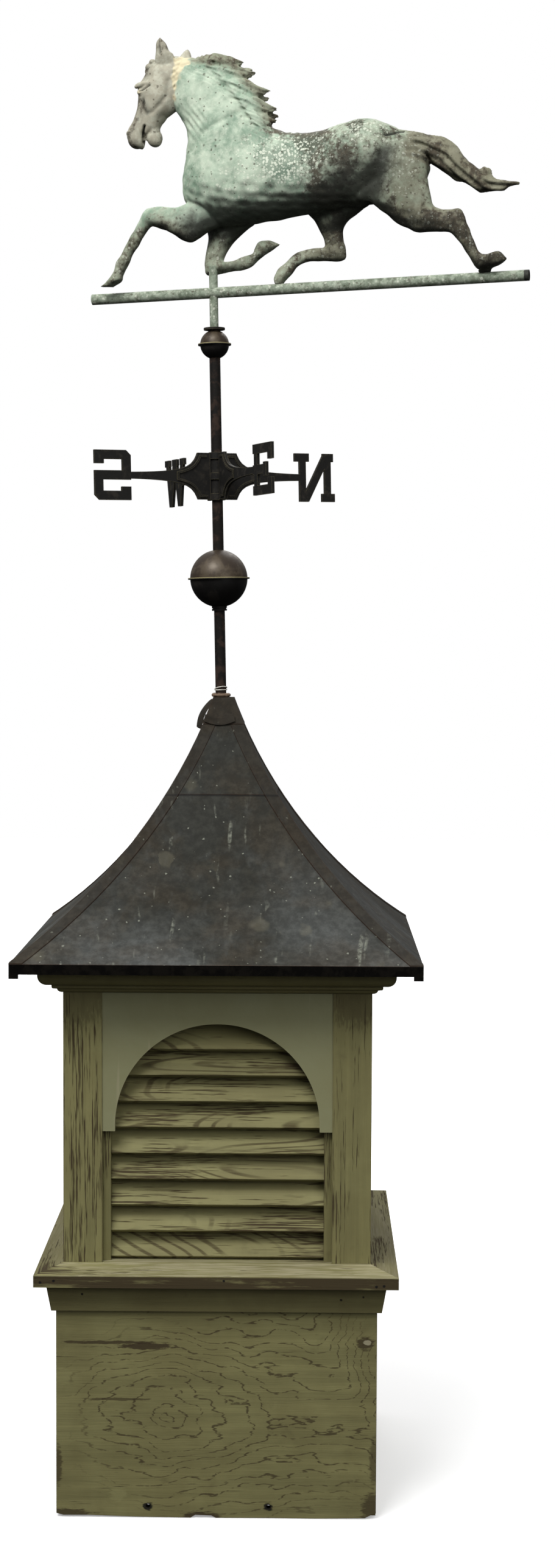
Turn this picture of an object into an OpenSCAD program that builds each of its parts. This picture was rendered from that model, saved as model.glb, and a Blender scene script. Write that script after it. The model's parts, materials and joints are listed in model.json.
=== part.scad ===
// Barn cupola with a bell-cast hipped copper roof, compass arms and a running-horse weathervane.
// Millimetres. +Z is up, the front is -Y, and the origin is the centre of the base's bottom edge.

/* [Base] */
// Width of the square base box
base_w = 610; // [520:1:740]
// How deep the front board's lower edge has rotted at its corners
foot_rot = 7; // [0:0.5:20]
// Height of the base box, from the roof curb to the sill
base_h = 456; // [320:1:620]
// Thickness of the base boards
board_t = 19; // [12:0.5:28]
// Height of the bevelled moulding under the sill
moulding_h = 53; // [30:1:80]
// Projection of that moulding at its top
moulding_out = 17.5; // [12:0.5:30]
// Projection of that moulding at its foot
moulding_foot = 8.5; // [4:0.5:11]
// Diameter of the two screw holes in the front board
screw_d = 9; // [5:0.5:14]
// Distance between the two screw holes
screw_gap = 230; // [120:1:320]
// Height of the screw holes above the bottom edge
screw_up = 22; // [14:1:60]
// How far the pair of screw holes sits to the left of the middle
screw_shift = 15; // [0:1:40]

/* [Sill] */
// How far the sill stands out beyond the base box
sill_out = 39; // [30:1:70]
// Thickness of the sill at its front edge
sill_t = 22.5; // [16:0.5:36]
// Rise of the sill's sloping top from its edge to the wall
sill_rise = 13; // [4:0.5:24]

/* [Louvre chamber] */
// Width of the square louvre chamber over its corner posts
chamber_w = 584; // [500:1:640]
// Height of the chamber's wall from sill to cornice
chamber_h = 518; // [400:1:700]
// Width of the square corner posts
post_w = 74; // [50:1:100]
// Width of the jamb strips that hold the louvres' ends
jamb_w = 15; // [10:1:24]
// Thickness of the arched face panels
arch_t = 12; // [8:0.5:16]
// How far the arched panels sit back from the posts' faces
arch_set_back = 2; // [1:0.5:6]
// Width of the arched panel's legs at their feet
arch_leg = 24; // [16:1:34]
// Height of the arched panel's legs below the arch's centre
arch_drop = 12; // [4:1:60]
// Height of solid panel above the crown of the arch, up to the cornice
arch_crown = 60; // [30:1:100]
// Height of the rail over the louvres
head_h = 52; // [40:1:80]

/* [Louvres] */
// Spacing of the louvre slats
slat_pitch = 50; // [40:1:70]
// Width of a slat across its face
slat_w = 64; // [50:1:66]
// Thickness of a slat
slat_t = 10; // [6:0.5:12]
// Slope of the slats from level
slat_slope = 56; // [50:1:65]
// How far the slats' lower edges sit back from the jamb's face
slat_set_back = 6; // [2:0.5:10]

/* [Cornice and eave] */
// Projection of the cornice moulding
cornice_out = 44; // [36:1:60]
// Height of the cornice's shaped face
cornice_h = 37; // [32:1:50]
// Height of its plain top fillet, up to the soffit
cornice_top = 9; // [4:1:16]
// How far the eave stands out beyond the chamber's wall
eave_out = 91.5; // [74:0.5:120]
// Height of the drip edge round the eave
drip_h = 19; // [14:1:30]
// Thickness of the drip edge's folded metal
drip_t = 2; // [1:0.5:4]
// How much lower the drip edge's torn corners hang
ear_drop = 8; // [2:1:14]
// Width of those corners along each side
ear_w = 18; // [8:1:30]
// Width of the soffit frame under the roof
soffit_w = 140; // [124:1:160]

/* [Roof] */
// Rise of the bell-cast roof from the eave to the cap
roof_rise = 442; // [360:1:540]
// Half the width of the roof at its top, under the cap
roof_top = 34; // [30:1:44]
// Depth of the hollow curve in the roof's slope
roof_sag = 39.5; // [20:0.5:60]
// Thickness of the roof panels, copper over boards
roof_t = 12; // [8:0.5:20]
// Half the width of the hip straps, along each face
hip_w = 25; // [16:1:36]
// Thickness of the hip straps
hip_t = 2; // [1:0.5:4]
// Height of the cap at the roof's top
cap_h = 52; // [40:1:70]
// How far the cap laps down over the panels
cap_lap = 9; // [6:1:30]

/* [Mast and balls] */
// Lean of the mast to the left, in degrees
mast_lean = 1.2; // [0:0.1:2]
// Diameter of the iron pipe mast
mast_d = 21.5; // [18:0.5:26]
// Diameter of the large ball
big_ball_d = 114; // [90:1:140]
// Height of the large ball's centre along the mast, above the lean's pivot
big_ball_up = 506; // [440:1:580]
// Diameter of the small ball
small_ball_d = 57; // [46:1:70]
// Height of the small ball's centre along the mast
small_ball_up = 967; // [900:1:1010]
// How far the seam flanges stand out round the balls
seam_out = 4.3; // [2:0.1:8]
// Thickness of the balls' shells
ball_t = 1.5; // [1:0.1:3]

/* [Compass] */
// Height of the compass hub's middle along the mast
compass_up = 708; // [660:1:780]
// Turn of the compass about the mast, in degrees
compass_turn = 26; // [0:1:90]
// Distance from the mast to the letters' outer edges
letter_out = 260; // [210:1:320]
// Height of the letters
letter_h = 97; // [70:1:120]
// Width of the letter N
n_w = 90; // [60:1:110]
// Width of the letter E
e_w = 84; // [60:1:110]
// Width of the letter S
s_w = 76; // [60:1:110]
// Width of the letter W
w_w = 100; // [70:1:120]
// Width of the letters' strokes
stroke = 18; // [10:0.5:20]
// Thickness of the cast arms and letters
iron_t = 6; // [4:0.5:10]

/* [Vane] */
// Turn of the vane about the mast at rest, in degrees
vane_turn = 14.5; // [0:0.5:45]
// Diameter of the copper sleeve that turns on the spindle
sleeve_d = 17; // [15:0.5:20]
// Diameter of the spindle at the mast's top
spindle_d = 12; // [8:0.5:12]
// Diameter of the copper tube that the horse runs on
rod_d = 21; // [19.5:0.5:26]
// Height of that tube's centre along the mast
rod_up = 1068; // [1060:1:1080]
// Length of the tube ahead of the mast
rod_front = 253; // [235:1:300]
// Length of the tube behind the mast
rod_back = 627; // [610:1:680]
// Length of the tube's plug at its closed front end
rod_plug = 8; // [4:1:20]

/* [Hidden] */
$fn = 64;

// Radial clearance of the sleeve on its spindle, and the gap under the sleeve's foot
run_gap = 0.1;
foot_gap = 1;
// Depth of a blind seat and the length of a mitre wedge
seat_depth = 19;
reach = 1200;

chamber_r = chamber_w / 2;
post_in = chamber_r - post_w;
sill_r = base_w / 2 + sill_out;
sill_edge_z = base_h + sill_t;
wall_z = sill_edge_z + sill_rise;
cornice_z = wall_z + chamber_h;
soffit_z = cornice_z + cornice_h + cornice_top;
eave_r = chamber_r + eave_out;
eave_z = soffit_z + drip_h;
roof_top_z = eave_z + roof_rise;
// Height above the eave where the leaning mast crosses the cupola's axis
pivot_up = 215;
pivot_z = eave_z + pivot_up;

jamb_face = chamber_r - arch_set_back - arch_t;
jamb_lip = 4;
jamb_back = post_in + jamb_lip;
head_z = soffit_z - head_h;
slat_tip = jamb_face - slat_set_back;
slat_foot = 7;
slat_rise = slat_w * sin(slat_slope);
slat_count = floor((head_z - wall_z - slat_foot - slat_rise) / slat_pitch) + 1;
arch_r = post_in - arch_leg;
arch_z = cornice_z - arch_crown - arch_r;

// ---- Placing ----------------------------------------------------------------

// Children drawn for the front, turned to side 0 front, 1 right, 2 back or 3 left.
module on_side(i) rotate([0, 0, 90 * i]) children();

// A profile of (distance out from the axis, height) run along the front.
module run_front(length) rotate([90, 0, -90]) linear_extrude(length, center = true) children();

// The quarter of plan that belongs to the front, between the two mitre planes.
module front_quarter() linear_extrude(reach * 2) polygon([[0, 0], [-reach, -reach], [reach, -reach]]);

module mitred() intersection() {
    run_front(reach) children();
    front_quarter();
}

// Children whose Z runs up the leaning mast.
module on_mast() translate([0, 0, pivot_z]) rotate([0, -mast_lean, 0]) children();

// Children whose X runs along the vane, towards the horse's tail.
module on_vane() on_mast() rotate([0, 0, -vane_turn]) children();

// Points along a quarter or less of an ellipse, from angle a to angle b.
function arc_points(c, rx, ry, a, b, n) =
    [for (i = [0:n]) let (t = a + (b - a) * i / n) [c[0] + rx * cos(t), c[1] + ry * sin(t)]];

// ---- Base -------------------------------------------------------------------

base_r = base_w / 2;

module base_board(width) translate([-width / 2, -base_r, 0]) cube([width, board_t, base_h]);

// The front board's ragged foot: shares of its half width, and of the rot's depth, from left to right.
ragged = [[-1, 1], [-0.955, 0.5], [-0.8, 0.55], [-0.5, 0.15], [-0.16, 0], [-0.13, 0.8], [-0.03, 0.65],
    [0, 0], [0.35, 0.1], [0.62, 0], [0.93, 0.25], [0.965, 1], [1, 1.6]];

module screw_holes() for (i = [-0.5, 0.5])
    translate([i * screw_gap - screw_shift, -base_r - 1, screw_up])
        rotate([-90, 0, 0]) cylinder(h = board_t + 2, d = screw_d);

module base_front() color("#6f6d47") difference() {
    translate([0, board_t - base_r, 0]) rotate([90, 0, 0]) linear_extrude(board_t)
        polygon(concat([for (p = ragged) [p[0] * base_r, p[1] * foot_rot]],
            [[base_r, base_h], [-base_r, base_h]]));
    screw_holes();
}
module base_back() color("#6f6d47") on_side(2) base_board(base_w);
module base_right() color("#6f6d47") on_side(1) base_board(base_w - 2 * board_t);
module base_left() color("#6f6d47") on_side(3) base_board(base_w - 2 * board_t);

module moulding_length() mitred() polygon([
    [base_r, base_h - moulding_h], [base_r + moulding_foot, base_h - moulding_h],
    [base_r + moulding_out, base_h], [base_r, base_h]]);

module base_moulding_front_back() color("#5e5a3f") for (i = [0, 2]) on_side(i) moulding_length();
module base_moulding_sides() color("#5e5a3f") for (i = [1, 3]) on_side(i) moulding_length();

// ---- Sill -------------------------------------------------------------------

module sill_length() mitred() polygon([
    [post_in, base_h], [sill_r, base_h], [sill_r, sill_edge_z], [chamber_r, wall_z], [post_in, wall_z]]);

module sill_front_back() color("#76744c") for (i = [0, 2]) on_side(i) sill_length();
module sill_sides() color("#76744c") for (i = [1, 3]) on_side(i) sill_length();

// ---- Louvre chamber ---------------------------------------------------------

module post(i) color("#6c6945") rotate([0, 0, 90 * i])
    translate([-chamber_r, -chamber_r, wall_z]) cube([post_w, post_w, soffit_z - wall_z]);

// Two jamb strips and the rail over them, between two posts.
module louvre_frame() {
    for (x = [-post_in, post_in - jamb_w])
        translate([x, -jamb_face, wall_z]) cube([jamb_w, jamb_face - jamb_back, soffit_z - wall_z]);
    translate([-post_in, -jamb_face, head_z])
        cube([2 * post_in, jamb_face - jamb_back, soffit_z - head_z]);
}
module louvre_frames() color("#5f5c3d") for (i = [0:3]) on_side(i) louvre_frame();

module slat() run_front(2 * (post_in - jamb_w)) translate([slat_tip, 0])
    rotate(180 - slat_slope) mirror([0, 1]) translate([0, -slat_t]) square([slat_w, slat_t]);

module louvres() color("#716f49") for (k = [0:slat_count - 1])
    translate([0, 0, wall_z + slat_foot + k * slat_pitch]) slat();

module arch_panel() color("#6b6d51") translate([0, -chamber_r + arch_set_back, 0])
    rotate([90, 0, 0]) mirror([0, 0, 1]) linear_extrude(arch_t) difference() {
        translate([-post_in, arch_z - arch_drop]) square([2 * post_in, soffit_z - arch_z + arch_drop]);
        translate([0, arch_z]) circle(arch_r);
        translate([-arch_r, arch_z - arch_drop - 1]) square([2 * arch_r, arch_drop + 1]);
    }

// ---- Cornice and eave -------------------------------------------------------

// From the wall out: a small cove, a step with a round bead, a step, a large cove and a plain fillet.
cove_1 = cornice_out * 0.24;
cove_h = cornice_h * 0.24;
ledge_h = cornice_h * 0.46;
step_1 = cornice_out * 0.36;
bead_r = cornice_out * 0.09;
step_2 = cornice_out * 0.57;

module cornice_length() mitred() translate([chamber_r, cornice_z]) polygon(concat(
    arc_points([0, cove_h], cove_1, cove_h, -90, -8, 5),
    arc_points([step_1, cove_h + bead_r], bead_r, bead_r, -90, 0, 4),
    [[step_1 + bead_r, ledge_h]],
    arc_points([step_2, cornice_h], cornice_out - step_2, cornice_h - ledge_h, -90, 0, 7),
    [[cornice_out, cornice_h + cornice_top], [0, cornice_h + cornice_top]]));

module cornice_front_back() color("#423e30") for (i = [0, 2]) on_side(i) cornice_length();
module cornice_sides() color("#423e30") for (i = [1, 3]) on_side(i) cornice_length();

module square_ring(outer, inner, z, h) translate([0, 0, z]) linear_extrude(h) difference() {
    square(2 * outer, center = true);
    square(2 * inner, center = true);
}

module soffit_frame() color("#4a4736") square_ring(eave_r - drip_t, eave_r - soffit_w, soffit_z, drip_h);

// The folded strip round the eave, with its four corners torn down a little.
module drip_edge() color("#1d1c19") {
    square_ring(eave_r, eave_r - drip_t, soffit_z, drip_h);
    intersection() {
        square_ring(eave_r, eave_r - drip_t, soffit_z - ear_drop, ear_drop + 1);
        for (x = [-1, 1], y = [-1, 1]) translate([x, y, 0] * (eave_r - ear_w / 2) + [0, 0, soffit_z])
            cube([ear_w, ear_w, 2 * ear_drop + 2], center = true);
    }
}

beam_w = 89;
beam_h = 38;
beam_end = soffit_w / 3;

module mast_bar(from, to, d) on_mast() translate([0, 0, from]) cylinder(h = to - from, d = d);

mast_foot = eave_z + beam_h - seat_depth - pivot_z;

module mast_beam() color("#7a6a4e") difference() {
    translate([-eave_r + soffit_w - beam_end, -beam_w / 2, eave_z])
        cube([2 * (eave_r - soffit_w + beam_end), beam_w, beam_h]);
    mast_bar(mast_foot, 0, mast_d);
}

// ---- Roof -------------------------------------------------------------------

// The slope is one hollow arc from the eave's edge to the roof's top, bowed in by roof_sag.
run = eave_r - roof_top;
chord = sqrt(run * run + roof_rise * roof_rise);
arc_r = (chord * chord / 4 + roof_sag * roof_sag) / (2 * roof_sag);
arc_c = [(eave_r + roof_top) / 2, eave_z + roof_rise / 2]
    + (arc_r - roof_sag) / chord * [roof_rise, run];
ang_0 = atan2(eave_z - arc_c[1], eave_r - arc_c[0]);
ang_1 = atan2(roof_top_z - arc_c[1], roof_top - arc_c[0]);
ang_span = (ang_1 - ang_0 + 360) % 360 - 360;
arc_steps = 20;

// Points on an arc offset outwards by t, between two fractions of the slope's angle.
function slope_points(t, a, b, n) = arc_points(arc_c, arc_r - t, arc_r - t, a, b, n);

// A strip of even thickness on the slope, from t0 to t1 outside it, cut level at the eave and the top.
module slope_band(t0, t1, top_z) intersection() {
    polygon(concat(
        slope_points(t1, ang_0 + 3, ang_0 + ang_span - 6, arc_steps),
        slope_points(t0, ang_0 + ang_span - 6, ang_0 + 3, arc_steps)));
    translate([0, eave_z]) square([eave_r, top_z - eave_z]);
}

module roof_panel() color("#4b4a44") mitred() slope_band(-roof_t, 0, roof_top_z);

module hip_strap() intersection() {
    union() for (i = [0, 3]) on_side(i) mitred() slope_band(0, hip_t, roof_top_z - cap_lap - 1);
    rotate([0, 0, 45]) translate([-reach, -hip_w / sqrt(2), 0]) cube([reach, hip_w * sqrt(2), reach * 2]);
}
module hip_straps() color("#3f3e39") for (i = [0:3]) on_side(i) hip_strap();

cap_z = roof_top_z - cap_lap;
cap_top_z = cap_z + cap_h;
cap_gap = 0.5;
// How far cuts for the mast run up from its pivot
mast_reach = 400;

// A four-sided hollow-curved spire: the slope carried on, from both pairs of sides.
module spire(t, from, to) intersection_for (a = [0, 90]) rotate([0, 0, a])
    rotate([90, 0, 0]) linear_extrude(reach, center = true) intersection() {
        polygon(concat(
            slope_points(t, ang_0 + ang_span + 6, ang_0 + ang_span - 9, 10),
            [for (p = slope_points(t, ang_0 + ang_span - 9, ang_0 + ang_span + 6, 10)) [-p[0], p[1]]]));
        translate([-reach / 2, from]) square([reach, to - from]);
    }

// Sheet copper over a block that stands on the panels' top edges and laps down over them.
module roof_cap() color("#3a3835") difference() {
    spire(hip_t + 1, cap_z, cap_top_z);
    spire(cap_gap, cap_z - 1, roof_top_z);
    mast_bar(0, mast_reach, mast_d);
}

cap_up = (cap_top_z - pivot_z) / cos(mast_lean) + 0.5;

// Lumpy sealant round the mast's foot, on the cap.
module flashing_collar() color("#6b5a4c") difference() {
    translate([0, 0, cap_top_z]) translate([-sin(mast_lean) * cap_up, 0, 0]) linear_extrude(9)
        offset(3) square(mast_d + 10, center = true);
    mast_bar(0, mast_reach, mast_d);
}

// ---- Mast, balls and compass ------------------------------------------------

washer_d = 42;
washer_t = 4;
washer_z = small_ball_up + small_ball_d / 2;
spindle_foot = washer_z + washer_t;
spindle_top = rod_up - 8;

module mast() color("#2b2523") union() {
    mast_bar(mast_foot, washer_z, mast_d);
    mast_bar(washer_z - 1, spindle_top, spindle_d);
}

// Turns of white wire round the mast, just above the sealant.
wire_r = 1.1;
wire_tilt = 8;
wire_up = 13;
wire_gap = 6;
module mast_wire() color("#d8d6cd") on_mast() for (i = [0, 1])
    translate([0, 0, cap_up + wire_up + wire_gap * i]) rotate([0, wire_tilt * (1 - 1.75 * i), 0])
        rotate_extrude() translate([(mast_d / 2 + wire_r) / cos(wire_tilt), 0]) circle(wire_r);

// Half a spun ball on the mast, its upper half or, where side is -1, its lower one: a shell with a
// seam flange at its equator and a hole for the mast.
seam_t = 1.5;
module half_ball(d, up, side) on_mast() translate([0, 0, up]) mirror([0, 0, side < 0 ? 1 : 0])
    rotate_extrude() difference() {
        union() {
            intersection() {
                circle(d / 2);
                square(d);
            }
            square([d / 2 + seam_out, seam_t]);
        }
        circle(d / 2 - ball_t);
        translate([0, -d]) square([mast_d / 2, 2 * d]);
    }

module big_ball_bottom() color("#2a2825") half_ball(big_ball_d, big_ball_up, -1);
module big_ball_top() color("#4d4137") half_ball(big_ball_d, big_ball_up, 1);
module small_ball_bottom() color("#2a2825") half_ball(small_ball_d, small_ball_up, -1);
module small_ball_top() color("#4d4137") half_ball(small_ball_d, small_ball_up, 1);

// The cast collar that the large ball rests on, grooved round its middle.
collar_d = mast_d + 8.5;
collar_h = 9;
groove = 1.5;
collar_foot = big_ball_up - sqrt(pow(big_ball_d, 2) - pow(collar_d, 2)) / 2 - collar_h;
module big_ball_collar() color("#2a2825") difference() {
    mast_bar(collar_foot, collar_foot + collar_h, collar_d);
    mast_bar(collar_foot - 1, big_ball_up, mast_d);
    on_mast() translate([0, 0, big_ball_up]) sphere(big_ball_d / 2);
    on_mast() translate([0, 0, collar_foot + collar_h / 2]) rotate_extrude()
        translate([collar_d / 2 - groove, -groove / 2]) square([collar_d, groove]);
}

hub_d = mast_d + 10.5;
hub_waist = mast_d + 4;
hub_h = 94;
band_h = 13;

module compass_hub() color("#2d2b29") difference() {
    union() {
        mast_bar(compass_up - hub_h / 2, compass_up + hub_h / 2, hub_waist);
        for (z = [-(hub_h - band_h) / 2, 0, (hub_h - band_h) / 2])
            mast_bar(compass_up + z - band_h / 2, compass_up + z + band_h / 2, hub_d);
    }
    mast_bar(compass_up - hub_h, compass_up + hub_h, mast_d);
}

// The letters, drawn about their middles, each from half its width.
lh = letter_h / 2;
serif_h = letter_h * 0.17;

// A stroke of a letter from its foot at x0 to its top at x1, cut level at both ends.
module slant(x0, x1, w) polygon([[x0 - w / 2, -lh], [x0 + w / 2, -lh], [x1 + w / 2, lh], [x1 - w / 2, lh]]);

// A block from x0 to x1 at the letter's top, or at its foot where side is -1.
module block(x0, x1, h, side) translate([x0, side > 0 ? lh - h : -lh]) square([x1 - x0, h]);

// It reads reversed from the front: the diagonal climbs away from the mast.
module letter_n(lw) {
    slant(-lw * 0.6, -lw * 0.6, stroke * 0.8);
    slant(lw * 0.65, lw * 0.65, stroke * 0.8);
    slant(-lw * 0.5, lw * 0.65, stroke);
    block(-lw, -lw * 0.28, serif_h, 1);
    block(lw * 0.4, lw * 0.93, serif_h, 1);
    block(lw * 0.35, lw, serif_h, -1);
}
module letter_e(lw) {
    slant(-lw * 0.7, -lw * 0.7, stroke * 0.8);
    for (side = [-1, 1]) {
        block(-lw, lw, stroke, side);
        block(lw - stroke, lw, serif_h * 1.9, side);
    }
    translate([-lw, -stroke / 2]) square([lw * 1.2, stroke]);
    translate([lw * 0.1, -serif_h * 0.8]) square([stroke * 0.7, serif_h * 1.6]);
}
module letter_w(lw) {
    for (side = [-1, 1]) {
        slant(side * lw * 0.45, side * lw * 0.78, stroke * 0.8);
        slant(side * lw * 0.45, 0, stroke * 0.8);
        block(side * lw * 0.78 - lw * 0.22, side * lw * 0.78 + lw * 0.22, serif_h * 0.8, 1);
    }
    block(-lw * 0.25, lw * 0.25, serif_h * 0.8, 1);
}
// A square-cornered stroke there and back, with its outer bends cut across and a block at each end.
module letter_s(lw) {
    bend = stroke * 0.55;
    for (turn = [0, 180]) rotate(turn) {
        polygon([[-lw, -stroke / 2], [-lw, lh - bend], [-lw + bend, lh], [lw, lh], [lw, lh - stroke],
            [-lw + stroke, lh - stroke], [-lw + stroke, stroke / 2], [0, stroke / 2], [0, -stroke / 2]]);
        block(lw - stroke * 1.1, lw, serif_h * 1.6, 1);
    }
}

// Half the height of an arm at distance r from the mast: the hub's at its root, then a short flare and
// a long taper.
arm_root = 42;
arm_flare = 8;
arm_taper = 40;
arm_tip = 6;
flare_share = 0.46;
function arm_half(r) = let (d = max(0, r - arm_root)) arm_tip + (hub_h / 2 - 1 - arm_tip)
    * (flare_share * exp(-d / arm_flare) + (1 - flare_share) * exp(-d / arm_taper));

module arm_outline(length) {
    steps = [0, arm_root, for (i = [1:12]) arm_root + (length - arm_root) * pow(i / 12, 1.8)];
    polygon(concat([for (r = steps) [r, arm_half(r)]],
        [for (i = [len(steps) - 1:-1:0]) [steps[i], -arm_half(steps[i])]]));
}

// The raised rib that follows an arm's flare a little inside its edge.
rib_t = 11;
rib_w = 3.5;
rib_in = 5;
rib_end = 92;
rib_start = 8;
module rib_outline() difference() {
    offset(delta = -rib_in) arm_outline(rib_end);
    offset(delta = -rib_in - rib_w) arm_outline(rib_end);
    translate([0, -hub_h]) square([hub_d / 2 + rib_start, 2 * hub_h]);
}

module cast_plate(t) translate([0, t / 2, compass_up]) rotate([90, 0, 0]) linear_extrude(t) children();

// An arm stops inside its letter, this share of the letter's width from the outer edge.
arm_stop = 0.8;
module arm(direction, width) color("#2d2b29") difference() {
    on_mast() rotate([0, 0, direction]) {
        cast_plate(iron_t) {
            arm_outline(letter_out - arm_stop * width);
            translate([letter_out - width / 2, 0]) children();
        }
        cast_plate(rib_t) rib_outline();
    }
    mast_bar(compass_up - hub_h, compass_up + hub_h, hub_d);
}

module arm_north() arm(compass_turn, n_w) letter_n(n_w / 2);
module arm_east() arm(compass_turn - 90, e_w) letter_e(e_w / 2);
module arm_south() arm(compass_turn + 180, s_w) letter_s(s_w / 2);
module arm_west() arm(compass_turn + 90, w_w) letter_w(w_w / 2);

module bearing_washer() color("#4a4a3c") difference() {
    mast_bar(washer_z, spindle_foot, washer_d);
    mast_bar(washer_z - 1, spindle_foot + 1, spindle_d);
}

// ---- Vane -------------------------------------------------------------------

sleeve_foot = spindle_foot + foot_gap;
sleeve_up = 52;

module sleeve_bar() mast_bar(sleeve_foot, rod_up + sleeve_up, sleeve_d);
module vane_sleeve() color("#6f8268") difference() {
    sleeve_bar();
    mast_bar(sleeve_foot - 1, spindle_top + 2, spindle_d + 2 * run_gap);
}

module vane_bar(from, to, d) on_vane() translate([from, 0, rod_up])
    rotate([0, 90, 0]) cylinder(h = to - from, d = d);

// A pipe, solid where the sleeve goes through it and at its front end.
rod_bore = rod_d - 4;
rod_block = sleeve_d / 2 + 4;
module vane_tube() color("#5f6a52") difference() {
    vane_bar(-rod_front, rod_back, rod_d);
    vane_bar(-rod_front + rod_plug, -rod_block, rod_bore);
    vane_bar(rod_block, rod_back + 1, rod_bore);
    sleeve_bar();
}

// A station of a shape is [top x, top z, bottom x, bottom z, half thickness, y]: an ellipse whose
// long axis joins two points of the outline. Heights are above the tube's centre.
ring_n = 14;
function ring(s) = [for (i = [0:ring_n - 1]) let (a = 360 * i / ring_n)
    [(s[0] + s[2]) / 2 + (s[0] - s[2]) / 2 * cos(a), s[5] + s[4] * sin(a),
     (s[1] + s[3]) / 2 + (s[1] - s[3]) / 2 * cos(a)]];

// Which way round the rings run: 1 or -1, so that the faces always point outwards.
function way(s, t) = sign((t[0] + t[2] - s[0] - s[2]) * (s[1] - s[3])
    - (t[1] + t[3] - s[1] - s[3]) * (s[0] - s[2]));
function turned(face, w) = w > 0 ? face : [face[2], face[1], face[0]];

module loft(stations) {
    n = len(stations);
    last = (n - 1) * ring_n;
    w = way(stations[0], stations[1]);
    points = [for (s = stations) each ring(s)];
    sides = [for (j = [0:n - 2], i = [0:ring_n - 1]) let (k = (i + 1) % ring_n)
        each [turned([j * ring_n + i, j * ring_n + k, (j + 1) * ring_n + k], w),
              turned([j * ring_n + i, (j + 1) * ring_n + k, (j + 1) * ring_n + i], w)]];
    caps = [for (i = [1:ring_n - 2])
        each [turned([0, i + 1, i], w), turned([last, last + i, last + i + 1], w)]];
    on_vane() translate([0, 0, rod_up]) polyhedron(points, concat(sides, caps), convexity = 6);
}

body_stations = [
    [428, 228, 429, 205, 12, 0], [412, 255, 416, 180, 32, 0], [385, 286, 392, 165, 45, 0],
    [350, 307, 358, 158, 51, 0], [312, 315, 320, 154, 52, 0], [270, 309, 275, 150, 51, 0],
    [220, 299, 225, 144, 51, 0], [175, 297, 172, 138, 53, 0], [140, 306, 118, 130, 54, 0],
    [118, 318, 70, 126, 53, 0], [108, 330, 25, 128, 51, 0], [102, 342, -15, 138, 49, 0],
    [98, 352, -42, 160, 46, 0], [95, 362, -58, 190, 43, 0], [90, 374, -60, 222, 40, 0],
    [82, 388, -58, 250, 37, 0], [66, 404, -59, 280, 33, 0], [44, 422, -62, 310, 30, 0],
    [12, 440, -67, 340, 27, 0], [-20, 452, -76, 362, 24, 0], [-48, 462, -84, 384, 20, 0]];
head_stations = [
    [-34, 448, -52, 352, 22, 0], [-62, 456, -78, 344, 27, 0], [-92, 455, -100, 336, 30, 0],
    [-121, 449, -110, 330, 30, 0], [-146, 410, -110, 318, 28, 0], [-149, 375, -116, 300, 23, 0],
    [-160, 348, -118, 290, 21, 0], [-171, 328, -124, 288, 22, 0], [-168, 306, -140, 287, 15, 0]];
near_ear = [[-78, 440, -98, 452, 8, -14], [-76, 462, -97, 472, 9, -16], [-88, 482, -98, 486, 6, -17],
    [-95, 500, -96, 500, 1.5, -18]];
far_ear = [[-42, 440, -70, 446, 8, 14], [-40, 458, -62, 462, 8, 16], [-48, 470, -56, 472, 5, 17],
    [-50, 479, -51, 479, 1.5, 18]];
mane_stations = [
    [-14, 460, -30, 430, 12, 0], [24, 462, -4, 412, 26, 0], [66, 446, 30, 380, 32, 0],
    [93, 417, 50, 350, 36, 0], [120, 380, 70, 320, 40, 0], [134, 347, 84, 300, 40, 0],
    [131, 321, 96, 296, 30, 0], [138, 302, 118, 292, 10, 0]];
tail_stations = [
    [366, 296, 378, 262, 12, 0], [392, 288, 400, 246, 16, 0], [430, 282, 432, 230, 18, 0],
    [474, 263, 474, 195, 20, 0], [512, 238, 514, 172, 18, 0], [548, 204, 549, 162, 15, 0],
    [580, 188, 580, 166, 9, 0], [606, 177, 606, 173, 2, 0]];
raised_stations = [
    [10, 205, -10, 120, 20, -26], [-40, 205, -40, 104, 24, -28], [-80, 190, -74, 118, 19, -28],
    [-118, 172, -104, 130, 14, -28], [-135, 168, -121, 138, 13, -28], [-150, 142, -130, 124, 10, -28],
    [-178, 96, -162, 84, 8, -28], [-190, 84, -178, 66, 9, -28], [-206, 60, -184, 50, 9, -28],
    [-222, 42, -188, 32, 11, -28], [-229, 24, -196, 18, 12, -26]];
bent_stations = [
    [-30, 168, 72, 160, 20, 26], [-14, 130, 50, 130, 22, 26], [-8, 95, 34, 96, 16, 24],
    [-8, 62, 24, 78, 12, 20], [-3, 39, 22, 62, 11, 16], [30, 46, 34, 76, 9, 20],
    [60, 60, 60, 84, 8, 24], [84, 70, 84, 92, 8, 26], [99, 72, 101, 98, 8, 26],
    [112, 72, 118, 98, 9, 26], [131, 80, 130, 88, 5, 26]];
forward_stations = [
    [170, 175, 330, 170, 22, 26], [190, 150, 320, 150, 24, 28], [206, 122, 302, 122, 20, 28],
    [220, 100, 290, 96, 15, 28], [232, 73, 276, 64, 12, 28], [226, 78, 259, 49, 12, 28],
    [204, 86, 206, 60, 9, 28], [182, 90, 176, 66, 8, 28], [166, 86, 154, 62, 9, 28],
    [152, 60, 134, 58, 10, 26], [152, 34, 124, 34, 11, 20], [150, 8, 122, 8, 12, 10]];
back_stations = [
    [300, 200, 436, 230, 20, -24], [318, 168, 440, 190, 24, -28], [350, 128, 440, 150, 22, -28],
    [390, 102, 456, 138, 16, -28], [425, 92, 482, 132, 13, -28], [462, 90, 497, 130, 11, -28],
    [484, 80, 506, 104, 9, -28], [506, 62, 524, 78, 8, -28], [522, 46, 540, 62, 9, -28],
    [530, 34, 558, 52, 10, -24], [530, 14, 582, 34, 12, -14], [530, 6, 572, 6, 12, -8]];

module horse_body() color("#8ca591") loft(body_stations);

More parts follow.
